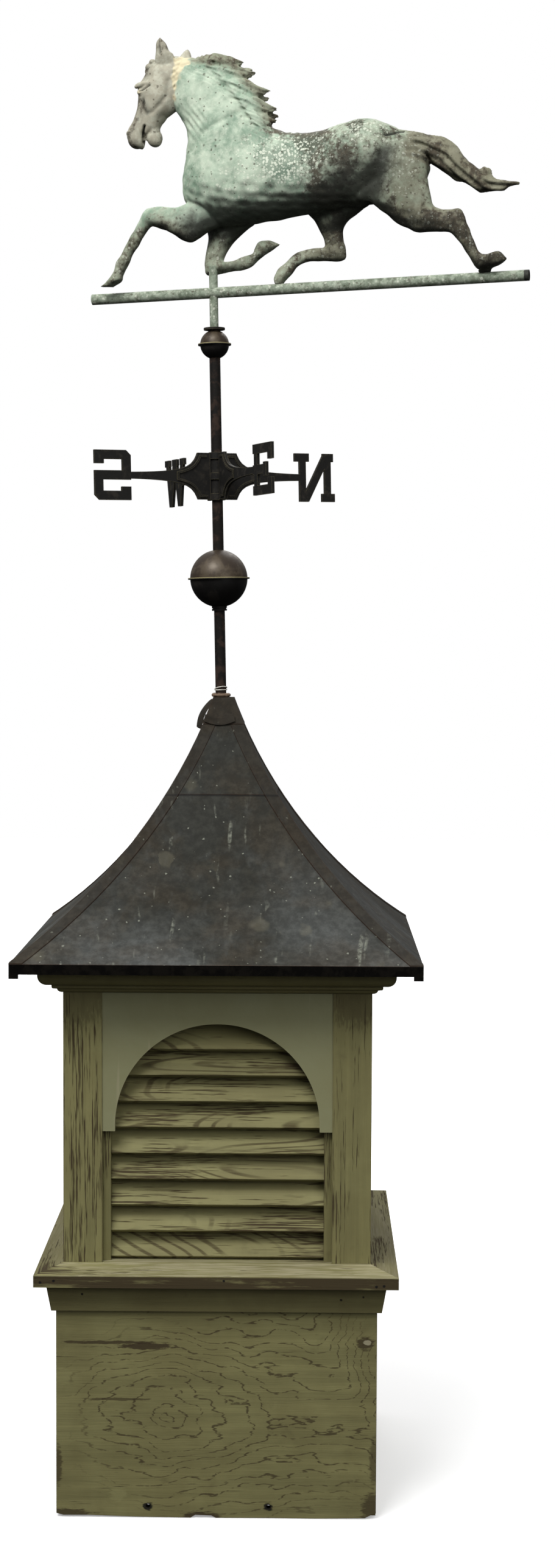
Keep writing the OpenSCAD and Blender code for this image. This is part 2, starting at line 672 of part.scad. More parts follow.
module head_form() union() {
    loft(head_stations);
    loft(near_ear);
    loft(far_ear);
}
module horse_head() color("#7f8a7c") difference() {
    head_form();
    horse_body();
}
module horse_mane() color("#7f9a86") difference() {
    loft(mane_stations);
    horse_body();
    head_form();
}
module horse_tail() color("#7f9a86") difference() {
    loft(tail_stations);
    horse_body();
}

module leg(stations) color("#8ca591") difference() {
    loft(stations);
    horse_body();
    vane_bar(-rod_front, rod_back, rod_d);
    sleeve_bar();
}
module leg_front_raised() leg(raised_stations);
module leg_front_bent() leg(bent_stations);
module leg_hind_forward() leg(forward_stations);
module leg_hind_back() leg(back_stations);

base_front();
base_right();
base_back();
base_left();
base_moulding_front_back();
base_moulding_sides();
sill_front_back();
sill_sides();
post(0);  // post_front_left
post(1);  // post_front_right
post(2);  // post_back_right
post(3);  // post_back_left
louvre_frames();
louvres();  // louvres_front
on_side(1) louvres();  // louvres_right
on_side(2) louvres();  // louvres_back
on_side(3) louvres();  // louvres_left
arch_panel();  // arch_front
on_side(1) arch_panel();  // arch_right
on_side(2) arch_panel();  // arch_back
on_side(3) arch_panel();  // arch_left
cornice_front_back();
cornice_sides();
soffit_frame();
drip_edge();
mast_beam();
roof_panel();  // roof_front
on_side(1) roof_panel();  // roof_right
on_side(2) roof_panel();  // roof_back
on_side(3) roof_panel();  // roof_left
hip_straps();
roof_cap();
flashing_collar();
mast();
mast_wire();
big_ball_bottom();
big_ball_top();
big_ball_collar();
compass_hub();
arm_north();
arm_east();
arm_south();
arm_west();
small_ball_bottom();
small_ball_top();
bearing_washer();
vane_sleeve();
vane_tube();
horse_body();
horse_head();
horse_mane();
horse_tail();
leg_front_raised();
leg_front_bent();
leg_hind_forward();
leg_hind_back();
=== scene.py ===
"""Finishes and sculpted pieces for a barn cupola with a running-horse weathervane. Metres throughout."""

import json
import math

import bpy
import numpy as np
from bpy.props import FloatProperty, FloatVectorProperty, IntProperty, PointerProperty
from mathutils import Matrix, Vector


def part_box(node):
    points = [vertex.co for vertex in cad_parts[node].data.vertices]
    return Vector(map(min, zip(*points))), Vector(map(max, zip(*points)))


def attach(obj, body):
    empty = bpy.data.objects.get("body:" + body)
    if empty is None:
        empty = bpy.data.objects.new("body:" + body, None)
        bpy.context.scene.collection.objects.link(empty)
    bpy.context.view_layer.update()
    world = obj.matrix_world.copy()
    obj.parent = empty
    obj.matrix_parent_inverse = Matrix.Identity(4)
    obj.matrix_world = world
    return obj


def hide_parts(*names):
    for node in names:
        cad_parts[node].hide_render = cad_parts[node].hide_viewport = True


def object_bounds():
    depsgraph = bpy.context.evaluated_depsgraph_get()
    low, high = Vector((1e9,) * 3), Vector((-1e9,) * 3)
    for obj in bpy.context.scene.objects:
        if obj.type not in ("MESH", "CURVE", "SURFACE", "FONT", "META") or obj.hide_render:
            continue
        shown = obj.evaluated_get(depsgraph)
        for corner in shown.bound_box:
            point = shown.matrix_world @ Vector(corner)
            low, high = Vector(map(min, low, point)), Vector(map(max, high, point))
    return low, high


bl_info = {
    "name": "Barn cupola",
    "version": (1, 0, 0),
    "blender": (4, 5, 0),
    "location": "3D View > Sidebar > Cupola",
    "description": "Paints a packed barn cupola, sculpts its horse and sets up its stage",
    "category": "Object",
}

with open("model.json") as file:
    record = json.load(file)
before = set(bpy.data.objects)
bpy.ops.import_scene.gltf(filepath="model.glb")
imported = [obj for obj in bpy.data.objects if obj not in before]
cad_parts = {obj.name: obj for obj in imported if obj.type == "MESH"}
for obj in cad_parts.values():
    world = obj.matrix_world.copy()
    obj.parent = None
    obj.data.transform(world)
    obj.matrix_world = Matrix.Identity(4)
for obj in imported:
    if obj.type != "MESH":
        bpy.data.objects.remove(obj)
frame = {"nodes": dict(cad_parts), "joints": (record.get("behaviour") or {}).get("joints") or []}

CAD_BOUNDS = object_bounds()
MM = 0.001
SPIN = frame["joints"][0]
MAST_FOOT = Vector(SPIN["pos_m"])
MAST_UP = Vector(SPIN["axis"]).normalized()


# ---- Places taken from the frame -------------------------------------------------

def node_points(name):
    """The vertices of a CAD node as an array."""
    mesh = frame["nodes"][name].data
    points = np.empty(len(mesh.vertices) * 3)
    mesh.vertices.foreach_get("co", points)
    return points.reshape(-1, 3)


def vane_matrix():
    """The vane's own axes: X along its tube towards the tail and Z up the mast, from where the two lines
    cross. The tube's direction is the longest axis of its points."""
    points = node_points("vane_tube")
    middle = points.mean(0)
    along = Vector(np.linalg.svd(points - middle, full_matrices=False)[2][0])
    if along.x < 0:
        along.negate()
    height = (Vector(middle) - MAST_FOOT).dot(MAST_UP)
    along = (along - MAST_UP * along.dot(MAST_UP)).normalized()
    across = MAST_UP.cross(along)
    place = Matrix((along, across, MAST_UP)).transposed().to_4x4()
    place.translation = MAST_FOOT + MAST_UP * height
    return place


VANE = vane_matrix()


def mast_point(z):
    """The point of the mast's line at world height z."""
    return MAST_FOOT + MAST_UP * ((z - MAST_FOOT.z) / MAST_UP.z)


def mast_matrix(z):
    """Axes that stand on the mast at world height z, with Z up the mast."""
    place = MAST_UP.to_track_quat("Z", "Y").to_matrix().to_4x4()
    place.translation = mast_point(z)
    return place


# ---- Settings --------------------------------------------------------------------

def shade(code):
    """A colour code such as 6a6540 as linear red, green and blue."""
    parts = [int(code[i:i + 2], 16) / 255 for i in (0, 2, 4)]
    return tuple(c / 12.92 if c < 0.04045 else ((c + 0.055) / 1.055) ** 2.4 for c in parts)


def paint_property(name, code, description):
    """A colour setting with its default as a colour code."""
    return FloatVectorProperty(name=name, description=description, subtype="COLOR", size=3,
                               min=0, max=1, default=shade(code))


class CupolaFinishes(bpy.types.PropertyGroup):
    """The colours of the cupola's finishes."""
    paint: paint_property("Olive paint", "77724b", "Worn paint on the boards, posts and louvres")
    paint_pale: paint_property("Faded paint", "89865a", "The same paint where the sun has faded it")
    bare: paint_property("Bare wood", "3b3020", "Weathered wood where the grain has shed its paint")
    silver: paint_property("Grey wood", "a39c80", "Dry wood on the sill's top, and pale drips and edges")
    panel: paint_property("Panel paint", "878766", "Smooth paint on the arched panels")
    copper: paint_property("Roof copper", "2a2a25", "Dark oxide on the roof sheets")
    copper_blue: paint_property("Roof bloom", "494b49", "Grey-blue bloom low on the roof")
    drip_mark: paint_property("Drip marks", "8f9284", "Pale drips and spots on the roof")
    iron: paint_property("Cast iron", "191816", "The compass castings and the washer")
    rust: paint_property("Rust", "4a2f22", "Brown on the roof's worn edges")
    bronze: paint_property("Bronze brown", "4d4335", "The balls' upper halves")
    # Black also draws the balls' lower halves as painted shade on their undersides, and the painted shadow
    # under the roof seam.
    black: paint_property("Black", "121110", "The balls' lower halves, nail heads and the tube's open end")
    verdigris: paint_property("Verdigris", "b4c3ae", "Green patina on the horse")
    verdigris_dark: paint_property("Deep verdigris", "768d79", "Green patina in its thinner places")
    umber: paint_property("Umber", "4a3f31", "Brown copper between the green, and warm patches on the roof")
    fleck: paint_property("Flecks", "dfe4d2", "White flecks on the patina")
    dull: paint_property("Dull copper", "7d7863", "Olive-grey copper on the tail, mane and lower legs")
    # Deep shade is the green-black of soot specks on the patina. It is also painted shade under the horse's
    # body and in its folds and hollows, with some grime.
    deep: paint_property("Deep shade", "1a1c16", "Green-black grime under the body and in its folds")
    cast: paint_property("Cast head", "a5a18f", "The grey cast head")
    solder: paint_property("Solder", "cdc3a3", "Cream solder between head and neck")


class CupolaSizes(bpy.types.PropertyGroup):
    """Sizes of the pieces that are made here, and of the patterns in the paint."""
    horse_grid: FloatProperty(name="Body grid", description="Spacing of the horse's surface points",
                              default=0.0026, unit="LENGTH")
    head_grid: FloatProperty(name="Head grid", description="Spacing of the head's surface points",
                             default=0.0016, unit="LENGTH")
    sill_edge: FloatProperty(name="Sill edge", description="Height of the sill's upright edge",
                             default=0.0225, unit="LENGTH")
    louvre_pitch: FloatProperty(name="Louvre pitch", description="Height from one louvre to the next",
                                default=0.05, unit="LENGTH")
    seam_z: FloatProperty(name="Roof seam", description="Height of the level seam in the roof sheets",
                          default=1.372, unit="LENGTH")
    sheet_step: FloatProperty(name="Sheet step", description="How far the upper roof sheets stand proud",
                              default=0.0008, unit="LENGTH")
    roof_sag: FloatProperty(name="Roof hollow", description="Depth of the hollow in the roof's slope",
                            default=0.0395, unit="LENGTH")
    strap_half: FloatProperty(name="Hip strap", description="Half width of the hip straps",
                              default=0.025, unit="LENGTH")
    wire_r: FloatProperty(name="Wire", description="Radius of the wire round the mast",
                          default=0.0011, unit="LENGTH")
    lumps: IntProperty(name="Lumps", description="Waves in the sealant's lumpy surface", default=7)


def finishes():
    """The colours in use."""
    return bpy.context.scene.cupola_finishes


def sizes():
    """The sizes in use."""
    return bpy.context.scene.cupola_sizes


# ---- Shapes ----------------------------------------------------------------------

def smooth_rows(rows, count):
    """Rows of numbers carried through a Catmull-Rom curve: each span is the cubic that leaves a row with
    half the step between its two neighbours."""
    rows = np.asarray(rows, float)
    t = np.linspace(0, len(rows) - 1, count)
    i = np.minimum(t.astype(int), len(rows) - 2)
    u = (t - i)[:, None]
    padded = np.vstack([2 * rows[0] - rows[1], rows, 2 * rows[-1] - rows[-2]])
    a, b, c, d = padded[i], padded[i + 1], padded[i + 2], padded[i + 3]
    square, cube = 2 * a - 5 * b + 4 * c - d, 3 * b - a - 3 * c + d
    return 0.5 * (2 * b + (c - a) * u + square * u ** 2 + cube * u ** 3)


def tube_faces(rings, around):
    """Quads between closed rings of points, with one flat face on each end."""
    i, j = np.meshgrid(np.arange(rings - 1), np.arange(around), indexing="ij")
    k = (j + 1) % around
    quads = np.stack([i * around + j, i * around + k, (i + 1) * around + k, (i + 1) * around + j], -1)
    first = list(range(around))[::-1]
    last = list(range((rings - 1) * around, rings * around))
    return quads.reshape(-1, 4).tolist() + [first, last]


def ring_faces(rings, around):
    """Quads between closed rings of points whose last ring joins the first."""
    i, j = np.meshgrid(np.arange(rings), np.arange(around), indexing="ij")
    k, m = (i + 1) % rings, (j + 1) % around
    quads = [i * around + j, k * around + j, k * around + m, i * around + m]
    return np.stack(quads, -1).reshape(-1, 4).tolist()


def grid_faces(rows, columns):
    """Quads of an open grid of points."""
    i, j = np.meshgrid(np.arange(rows - 1), np.arange(columns - 1), indexing="ij")
    a = i * columns + j
    return np.stack([a, a + 1, a + columns + 1, a + columns], -1).reshape(-1, 4).tolist()


def loft(stations, ridges=0, ridge_depth=0.0, around=40):
    """Ellipses whose long axis joins two points of an outline, carried smoothly from station to station.
    A station is top x, top z, bottom x, bottom z, half thickness, y. Ridges are a cosine in each ellipse's
    radius. Millimetres in, millimetres out."""
    rows = smooth_rows(stations, 8 * len(stations))
    turn = np.linspace(0, 2 * np.pi, around, endpoint=False)[None, :]
    reach = 1 + ridge_depth * np.cos(ridges * turn + np.linspace(0, 3, len(rows))[:, None])
    tx, tz, bx, bz, half, y = (rows[:, n:n + 1] for n in range(6))
    half = np.maximum(half, 0.4)
    points = np.stack([(tx + bx) / 2 + (tx - bx) / 2 * np.cos(turn) * reach,
                       y + half * np.sin(turn) * reach,
                       (tz + bz) / 2 + (tz - bz) / 2 * np.cos(turn) * reach], -1)
    return points.reshape(-1, 3), tube_faces(len(rows), around)


def blob(x, y, z, rx, ry, rz, tilt=0.0, around=24):
    """An egg: a ball stretched by rx, ry, rz, tilted in the XZ plane by some degrees, at x, y, z."""
    up = np.linspace(-np.pi / 2 + 0.12, np.pi / 2 - 0.12, around // 2)[:, None]
    turn = np.linspace(0, 2 * np.pi, around, endpoint=False)[None, :]
    p = np.stack([rx * np.cos(up) * np.cos(turn), ry * np.cos(up) * np.sin(turn),
                  rz * np.sin(up) * np.ones_like(turn)], -1).reshape(-1, 3)
    c, s = math.cos(math.radians(tilt)), math.sin(math.radians(tilt))
    p = np.stack([p[:, 0] * c - p[:, 2] * s, p[:, 1], p[:, 0] * s + p[:, 2] * c], -1)
    return p + (x, y, z), tube_faces(around // 2, around)


def joined(parts):
    """Several (points, faces) as one."""
    points, faces, start = [], [], 0
    for p, f in parts:
        points.append(p)
        faces += [[n + start for n in face] for face in f]
        start += len(p)
    return np.vstack(points), faces


def mesh_of(name, points, faces):
    """A mesh from an array of points and a list of faces."""
    mesh = bpy.data.meshes.new(name)
    mesh.from_pydata(np.asarray(points).tolist(), [], faces)
    mesh.update()
    return mesh


def signed_volume(points, faces):
    """Sum over fans of triangles of a . (b x c) / 6, below zero when a closed shape is inside out."""
    fans = np.array([(f[0], f[n], f[n + 1]) for f in faces for n in range(1, len(f) - 1)])
    a, b, c = (points[fans[:, n]] for n in range(3))
    return np.einsum("ij,ij->", a, np.cross(b, c)) / 6


def outward(points, faces):
    """The faces, turned when they point inwards."""
    return faces if signed_volume(points, faces) > 0 else [f[::-1] for f in faces]


def fused(name, parts, grid):
    """Overlapping closed shapes melted into one even skin of quads, by a voxel remesh. Millimetres in, metres
    out."""
    points, faces = joined(parts)
    scratch = bpy.data.objects.new(name, mesh_of(name, points * MM, faces))
    bpy.context.scene.collection.objects.link(scratch)
    remesh = scratch.modifiers.new("Skin", "REMESH")
    remesh.mode = "VOXEL"
    remesh.voxel_size = grid
    ready = scratch.evaluated_get(bpy.context.evaluated_depsgraph_get())
    mesh = bpy.data.meshes.new_from_object(ready)
    bpy.data.objects.remove(scratch)
    mesh.name = name
    return mesh


def get_points(mesh):
    """The mesh's points as an array."""
    points = np.empty(len(mesh.vertices) * 3)
    mesh.vertices.foreach_get("co", points)
    return points.reshape(-1, 3)


def set_points(mesh, points):
    """Puts an array of points into the mesh."""
    mesh.vertices.foreach_set("co", np.ascontiguousarray(points, float).ravel())
    mesh.update()


def get_normals(mesh):
    """The mesh's point normals as an array."""
    normals = np.empty(len(mesh.vertices) * 3)
    mesh.vertex_normals.foreach_get("vector", normals)
    return normals.reshape(-1, 3)


def relax(mesh, rounds, pull=0.5, push=-0.52):
    """Taubin smoothing: each point moves towards the mean of its neighbours and then a little more away from
    it, which rounds creases and keeps the volume."""
    edges = np.empty(len(mesh.edges) * 2, int)
    mesh.edges.foreach_get("vertices", edges)
    a, b = edges.reshape(-1, 2).T
    points = get_points(mesh)
    count = np.bincount(np.r_[a, b], minlength=len(points))[:, None]
    for step in [pull, push] * rounds:
        mean = np.stack([np.bincount(np.r_[a, b], np.r_[points[b, n], points[a, n]], len(points))
                         for n in range(3)], -1) / count
        points += step * (mean - points)
    set_points(mesh, points)


def press(mesh, relief):
    """Moves each point along its normal by what relief gives for its place, in millimetres. Gives back the
    places before the move, in millimetres."""
    points = get_points(mesh) / MM
    set_points(mesh, (points + get_normals(mesh) * relief(points)[:, None]) * MM)
    return points


def ripple(p, length, seed, waves=7):
    """A soft random field between about -1 and 1: a sum of sines along random directions, each with a
    wavelength near the given one."""
    rng = np.random.default_rng(seed)
    d = rng.normal(size=(waves, 3))
    d /= np.linalg.norm(d, axis=1)[:, None]
    k = 2 * np.pi / (length * rng.uniform(0.7, 1.4, waves))
    return np.sin(p @ (d * k[:, None]).T + rng.uniform(0, 6.3, waves)).sum(1) / math.sqrt(waves)


def line_distance(p, line):
    """Distance in the side view (x, z) from each point to a polyline."""
    q = p[:, [0, 2]]
    best = np.full(len(p), 1e9)
    for a, b in zip(np.array(line[:-1], float), np.array(line[1:], float)):
        d = b - a
        t = np.clip(((q - a) @ d) / (d @ d), 0, 1)[:, None]
        best = np.minimum(best, np.linalg.norm(q - a - t * d, axis=1))
    return best


def bell(x, width):
    """1 at zero, falling off on both sides as e to the minus (x / width) squared."""
    return np.exp(-(x / width) ** 2)


def step(x, low, high):
    """0 below low, 1 above high, and smooth between them."""
    t = np.clip((x - low) / (high - low), 0, 1)
    return t * t * (3 - 2 * t)


def spot(p, x, z, rx, rz):
    """1 at a place in the side view, falling off as a bell."""
    return np.exp(-((p[:, 0] - x) / rx) ** 2 - ((p[:, 2] - z) / rz) ** 2)


def patches(p, rows):
    """The sum of bells in the side view. A row is a strength, then x, z and how far the bell reaches."""
    return sum(strength * spot(p, *place) for strength, *place in rows)


def mark(mesh, name, values):
    """A number for each point, which a material reads by its name."""
    layer = mesh.attributes.new(name, "FLOAT", "POINT")
    layer.data.foreach_set("value", np.ascontiguousarray(np.clip(values, 0, 1), np.float32))


def add_piece(name, mesh, material, body, instead=(), smooth=True):
    """A finished piece on its body, in place of the CAD nodes that it stands for."""
    mesh.name = name
    mesh.materials.clear()
    mesh.materials.append(material)
    mesh.polygons.foreach_set("use_smooth", [smooth] * len(mesh.polygons))
    piece = bpy.data.objects.new(name, mesh)
    bpy.context.scene.collection.objects.link(piece)
    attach(piece, body)
    if instead:
        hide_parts(*instead)
    return piece


# ---- Material building -----------------------------------------------------------

class Graph:
    """Short ways to add and join shader nodes."""

    def __init__(self, tree):
        self.tree = tree

    def add(self, kind, inputs=(), **settings):
        """A node with its settings and its inputs, plain or joined."""
        node = self.tree.nodes.new("ShaderNode" + kind)
        for key, value in settings.items():
            setattr(node, key, value)
        for key, value in dict(inputs).items():
            self.put(node.inputs[key], value)
        return node

    def put(self, socket, value):
        """Joins an output to the socket, or sets its plain value."""
        if isinstance(value, bpy.types.NodeSocket):
            self.tree.links.new(value, socket)
        elif value is not None:
            socket.default_value = value

    def math(self, operation, a, b=None, clamp=False):
        """One sum on one or two numbers."""
        node = self.add("Math", {0: a, 1: b}, operation=operation, use_clamp=clamp)
        return node.outputs[0]

    def noise(self, vector, scale, detail=4.0, rough=0.6, twist=0.0):
        """Soft noise between 0 and 1."""
        inputs = {"Vector": vector, "Scale": scale, "Detail": detail, "Roughness": rough, "Distortion": twist}
        return self.add("TexNoise", inputs).outputs["Fac"]

    def stretch(self, vector, scale, move=(0, 0, 0)):
        """A place scaled and then moved."""
        inputs = {"Vector": vector, "Scale": scale, "Location": move}
        return self.add("Mapping", inputs).outputs[0]

    def limit(self, value, low, high, to_low=0.0, to_high=1.0):
        """Value from low..high mapped smoothly to to_low..to_high."""
        inputs = {"Value": value, "From Min": low, "From Max": high, "To Min": to_low, "To Max": to_high}
        return self.add("MapRange", inputs, interpolation_type="SMOOTHSTEP").outputs[0]

    def mix(self, fac, a, b, blend="MIX"):
        """Colour a with a share fac of colour b laid over it."""
        node = self.add("Mix", data_type="RGBA", blend_type=blend)
        self.put(node.inputs[0], fac)
        for key, color in ((6, a), (7, b)):
            self.put(node.inputs[key], color if isinstance(color, bpy.types.NodeSocket) else (*color, 1))
        return node.outputs[2]

    def shaded(self, color, tone):
        """The colour times a number."""
        return self.mix(1.0, color, self.joined(tone, tone, tone), "MULTIPLY")

    def swing(self, value, size):
        """How far a value is from a half, times size."""
        return self.math("MULTIPLY", self.math("SUBTRACT", value, 0.5), size)

    def along(self, vector, direction):
        """How far a place lies along a direction."""
        return self.add("VectorMath", {0: vector, 1: direction}, operation="DOT_PRODUCT").outputs["Value"]

    def place(self):
        """The object's own coordinates."""
        return self.add("TexCoord").outputs["Object"]

    def oval(self, vector, centre, scale):
        """Distance from a centre, with each axis scaled."""
        away = self.add("VectorMath", {0: vector, 1: centre}, operation="SUBTRACT").outputs[0]
        away = self.add("VectorMath", {0: away, 1: scale}, operation="MULTIPLY").outputs[0]
        return self.add("VectorMath", {0: away}, operation="LENGTH").outputs["Value"]

    def axes(self, vector):
        """The x, y and z of a place."""
        node = self.add("SeparateXYZ", {0: vector})
        return node.outputs[0], node.outputs[1], node.outputs[2]

    def joined(self, x, y, z):
        """A place from its x, y and z."""
        return self.add("CombineXYZ", {0: x, 1: y, 2: z}).outputs[0]

    def group(self, name, inputs):
        """A shared group with its inputs, as its outputs."""
        node = self.tree.nodes.new("ShaderNodeGroup")
        node.node_tree = bpy.data.node_groups[name]
        for key, value in inputs.items():
            self.put(node.inputs[key], value)
        return node.outputs

    def attribute(self, name):
        """A number that the mesh carries for each point."""
        return self.add("Attribute", attribute_name=name).outputs["Fac"]


def start_group(name, inputs, outputs):
    """A node group with the named sockets: its graph, its inputs and a function that sets an output."""
    tree = bpy.data.node_groups.new(name, "ShaderNodeTree")
    for key, (kind, default) in inputs.items():
        socket = tree.interface.new_socket(key, in_out="INPUT", socket_type="NodeSocket" + kind)
        if default is not None:
            socket.default_value = default
    for key, kind in outputs.items():
        tree.interface.new_socket(key, in_out="OUTPUT", socket_type="NodeSocket" + kind)
    source = tree.nodes.new("NodeGroupInput").outputs
    target = tree.nodes.new("NodeGroupOutput").inputs
    return Graph(tree), source, lambda key, value: tree.links.new(value, target[key])


def group_open_grain():
    """Worn paint on open grain that runs along X: fine and coarse streaks that gather in worn areas and,
    where asked, broken cathedral rings."""
    g, given, give = start_group(
        "open_grain",
        {"Vector": ("Vector", None), "Wear": ("Float", 0.5), "Rings": ("Float", 0.3)},
        {"Bare": "Float", "Height": "Float", "Tone": "Float"})
    v = given["Vector"]
    fine = g.noise(g.stretch(v, (14, 560, 560)), 1.0, 2.0, 0.6, 0.1)
    coarse = g.noise(g.stretch(v, (6, 210, 210), (2, 5, 1)), 1.0, 3.0, 0.65, 0.3)
    broad = g.noise(g.stretch(v, (2.2, 46, 46)), 1.0, 4.0, 0.6, 0.4)
    area = g.noise(g.stretch(v, (3.5, 12, 12), (4, 1, 2)), 1.0, 4.0, 0.6)
    field = g.noise(g.stretch(v, (1.7, 6.5, 6.5), (1, 3, 5)), 1.0, 1.2, 0.4, 0.4)
    ring = g.limit(g.math("SINE", g.math("MULTIPLY", field, 190.0)), 0.35, 0.95)
    ring = g.math("MULTIPLY", ring, g.limit(fine, 0.3, 0.5, 0.35, 1.0))
    broken = g.noise(g.stretch(v, (3, 9, 9), (9, 2, 4)), 1.0, 2.0)
    ring = g.math("MULTIPLY", ring, g.limit(broken, 0.48, 0.58))
    ring = g.math("MULTIPLY", ring, given["Rings"])
    streak = g.math("ADD", g.math("MULTIPLY", fine, 0.5), g.math("MULTIPLY", coarse, 0.5))
    spread = g.math("MULTIPLY", g.limit(area, 0.3, 0.72), given["Wear"])
    need = g.math("SUBTRACT", 0.68, g.math("MULTIPLY", spread, 0.26))
    worn = g.limit(g.math("SUBTRACT", streak, need), 0.0, 0.05)
    give("Bare", g.math("MAXIMUM", worn, ring, True))
    give("Height", g.math("SUBTRACT", g.math("MULTIPLY", streak, 0.9), g.math("MAXIMUM", worn, ring)))
    give("Tone", g.math("ADD", g.math("MULTIPLY", broad, 0.7), g.math("MULTIPLY", area, 0.3)))


def group_contours():
    """Thin nested rings of a flat-sawn board: tall ovals round one centre melted with rings round an eye that
    run level further out, wobbled, jagged along the grain and broken into dashes."""
    g, given, give = start_group(
        "contours", {"Vector": ("Vector", None), "Spacing": ("Float", 0.0165)}, {"Line": "Float"})
    v = given["Vector"]
    tall = g.oval(v, (0.40, 0, 0.27), (0.95, 0, 0.6))
    x, _, z = g.axes(v)
    away = g.math("ABSOLUTE", g.math("ADD", x, 0.10))
    eased = g.math("DIVIDE", away, g.math("ADD", 1.0, g.math("MULTIPLY", away, 6.0)))
    flat = g.math("ADD", g.oval(g.joined(eased, 0.0, z), (0, 0, 0.200), (1, 0, 1)), 0.012)
    field = g.add("Math", {0: tall, 1: flat, 2: 0.035}, operation="SMOOTH_MIN").outputs[0]
    wobble = g.noise(g.stretch(v, (6, 6, 10)), 1.0, 2.0, 0.6)
    jag = g.noise(g.stretch(v, (14, 14, 120)), 1.0, 2.0)
    field = g.math("ADD", field, g.math("MULTIPLY", wobble, 0.10))
    field = g.math("ADD", field, g.math("MULTIPLY", jag, 0.016))
    wave = g.math("SINE", g.math("DIVIDE", g.math("MULTIPLY", field, 6.283), given["Spacing"]))
    line = g.limit(wave, 0.87, 0.99)
    dash = g.limit(g.noise(g.stretch(v, (60, 60, 130)), 1.0, 2.0), 0.40, 0.50)
    where = g.limit(g.noise(g.stretch(v, (5, 5, 6), (3, 1, 2)), 1.0, 2.0), 0.30, 0.46)
    where = g.math("MULTIPLY", where, g.limit(g.oval(v, (0.04, 0, 0.22), (3.0, 0, 4.2)), 1.15, 0.75))
    give("Line", g.math("MULTIPLY", g.math("MULTIPLY", line, dash), where))


def group_edge_wear_and_highlight():
    """How far a point is on an edge: one less the dot of the true normal and a rounded one."""
    g, given, give = start_group("edge_wear_and_highlight", {"Width": ("Float", 0.002)}, {"Edge": "Float"})
    soft = g.add("Bevel", {"Radius": given["Width"]}, samples=3).outputs[0]
    sharp = g.add("NewGeometry").outputs["Normal"]
    give("Edge", g.limit(g.along(soft, sharp), 0.995, 0.86))


def group_spots():
    """Round spots of uneven size, scattered: a Voronoi cell's distance against a random limit."""
    g, given, give = start_group(
        "spots", {"Vector": ("Vector", None), "Scale": ("Float", 60.0), "Size": ("Float", 0.3),
                  "Share": ("Float", 0.5), "Soft": ("Float", 0.05)}, {"Spot": "Float"})
    bend = g.add("TexNoise", {"Vector": given["Vector"], "Scale": g.math("MULTIPLY", given["Scale"], 2.2),
                              "Detail": 3.0}).outputs["Color"]
    reach = g.math("DIVIDE", 0.55, given["Scale"])
    bend = g.add("VectorMath", {0: bend, "Scale": reach}, operation="SCALE").outputs[0]
    bent = g.add("VectorMath", {0: given["Vector"], 1: bend}, operation="ADD").outputs[0]
    cells = g.add("TexVoronoi", {"Vector": bent, "Scale": given["Scale"], "Randomness": 1.0})
    pick = g.axes(cells.outputs["Color"])[0]
    empty = g.math("SUBTRACT", 1.0, given["Share"])
    chosen = g.math("DIVIDE", g.math("SUBTRACT", pick, empty), given["Share"])
    size = g.math("MULTIPLY", chosen, given["Size"])
    give("Spot", g.limit(g.math("SUBTRACT", size, cells.outputs["Distance"]), -0.02, given["Soft"]))


def group_cloud():
    """Three sizes of soft noise added, with its contrast raised, for blotches."""
    g, given, give = start_group(
        "cloud", {"Vector": ("Vector", None), "Scale": ("Float", 8.0), "Low": ("Float", 0.4),
                  "High": ("Float", 0.6)}, {"Cloud": "Float", "Raw": "Float"})
    noise = g.add("TexNoise", {"Vector": given["Vector"], "Scale": given["Scale"], "Detail": 6.0,
                               "Roughness": 0.62, "Distortion": 0.3}).outputs["Fac"]
    out = g.add("MapRange", {"Value": noise, "From Min": given["Low"], "From Max": given["High"]},
                interpolation_type="SMOOTHSTEP").outputs[0]
    give("Cloud", out)
    give("Raw", noise)


def make_groups():
    """Builds each shared node group once."""
    for build in (group_open_grain, group_contours, group_edge_wear_and_highlight, group_spots, group_cloud):
        build()


def start_material(name, **constants):
    """A new material, its graph and its shader, with plain values set on the shader's own sockets."""
    material = bpy.data.materials.new(name)
    material.use_nodes = True
    tree = material.node_tree
    shader = tree.nodes["Principled BSDF"]
    for key, value in constants.items():
        shader.inputs[key.replace("_", " ").title().replace("Ior", "IOR")].default_value = value
    return material, Graph(tree), shader


def finish(g, shader, color, rough, height, relief, strength):
    """Joins the colour, roughness and relief of a surface to its shader."""
    g.put(shader.inputs["Base Color"], color)
    g.put(shader.inputs["Roughness"], rough)
    bump = g.add("Bump", {"Height": height, "Distance": relief, "Strength": strength})
    g.put(shader.inputs["Normal"], bump.outputs[0])


GRAIN_ORDER = {"x": (0, 1, 2), "y": (1, 0, 2), "z": (2, 0, 1)}


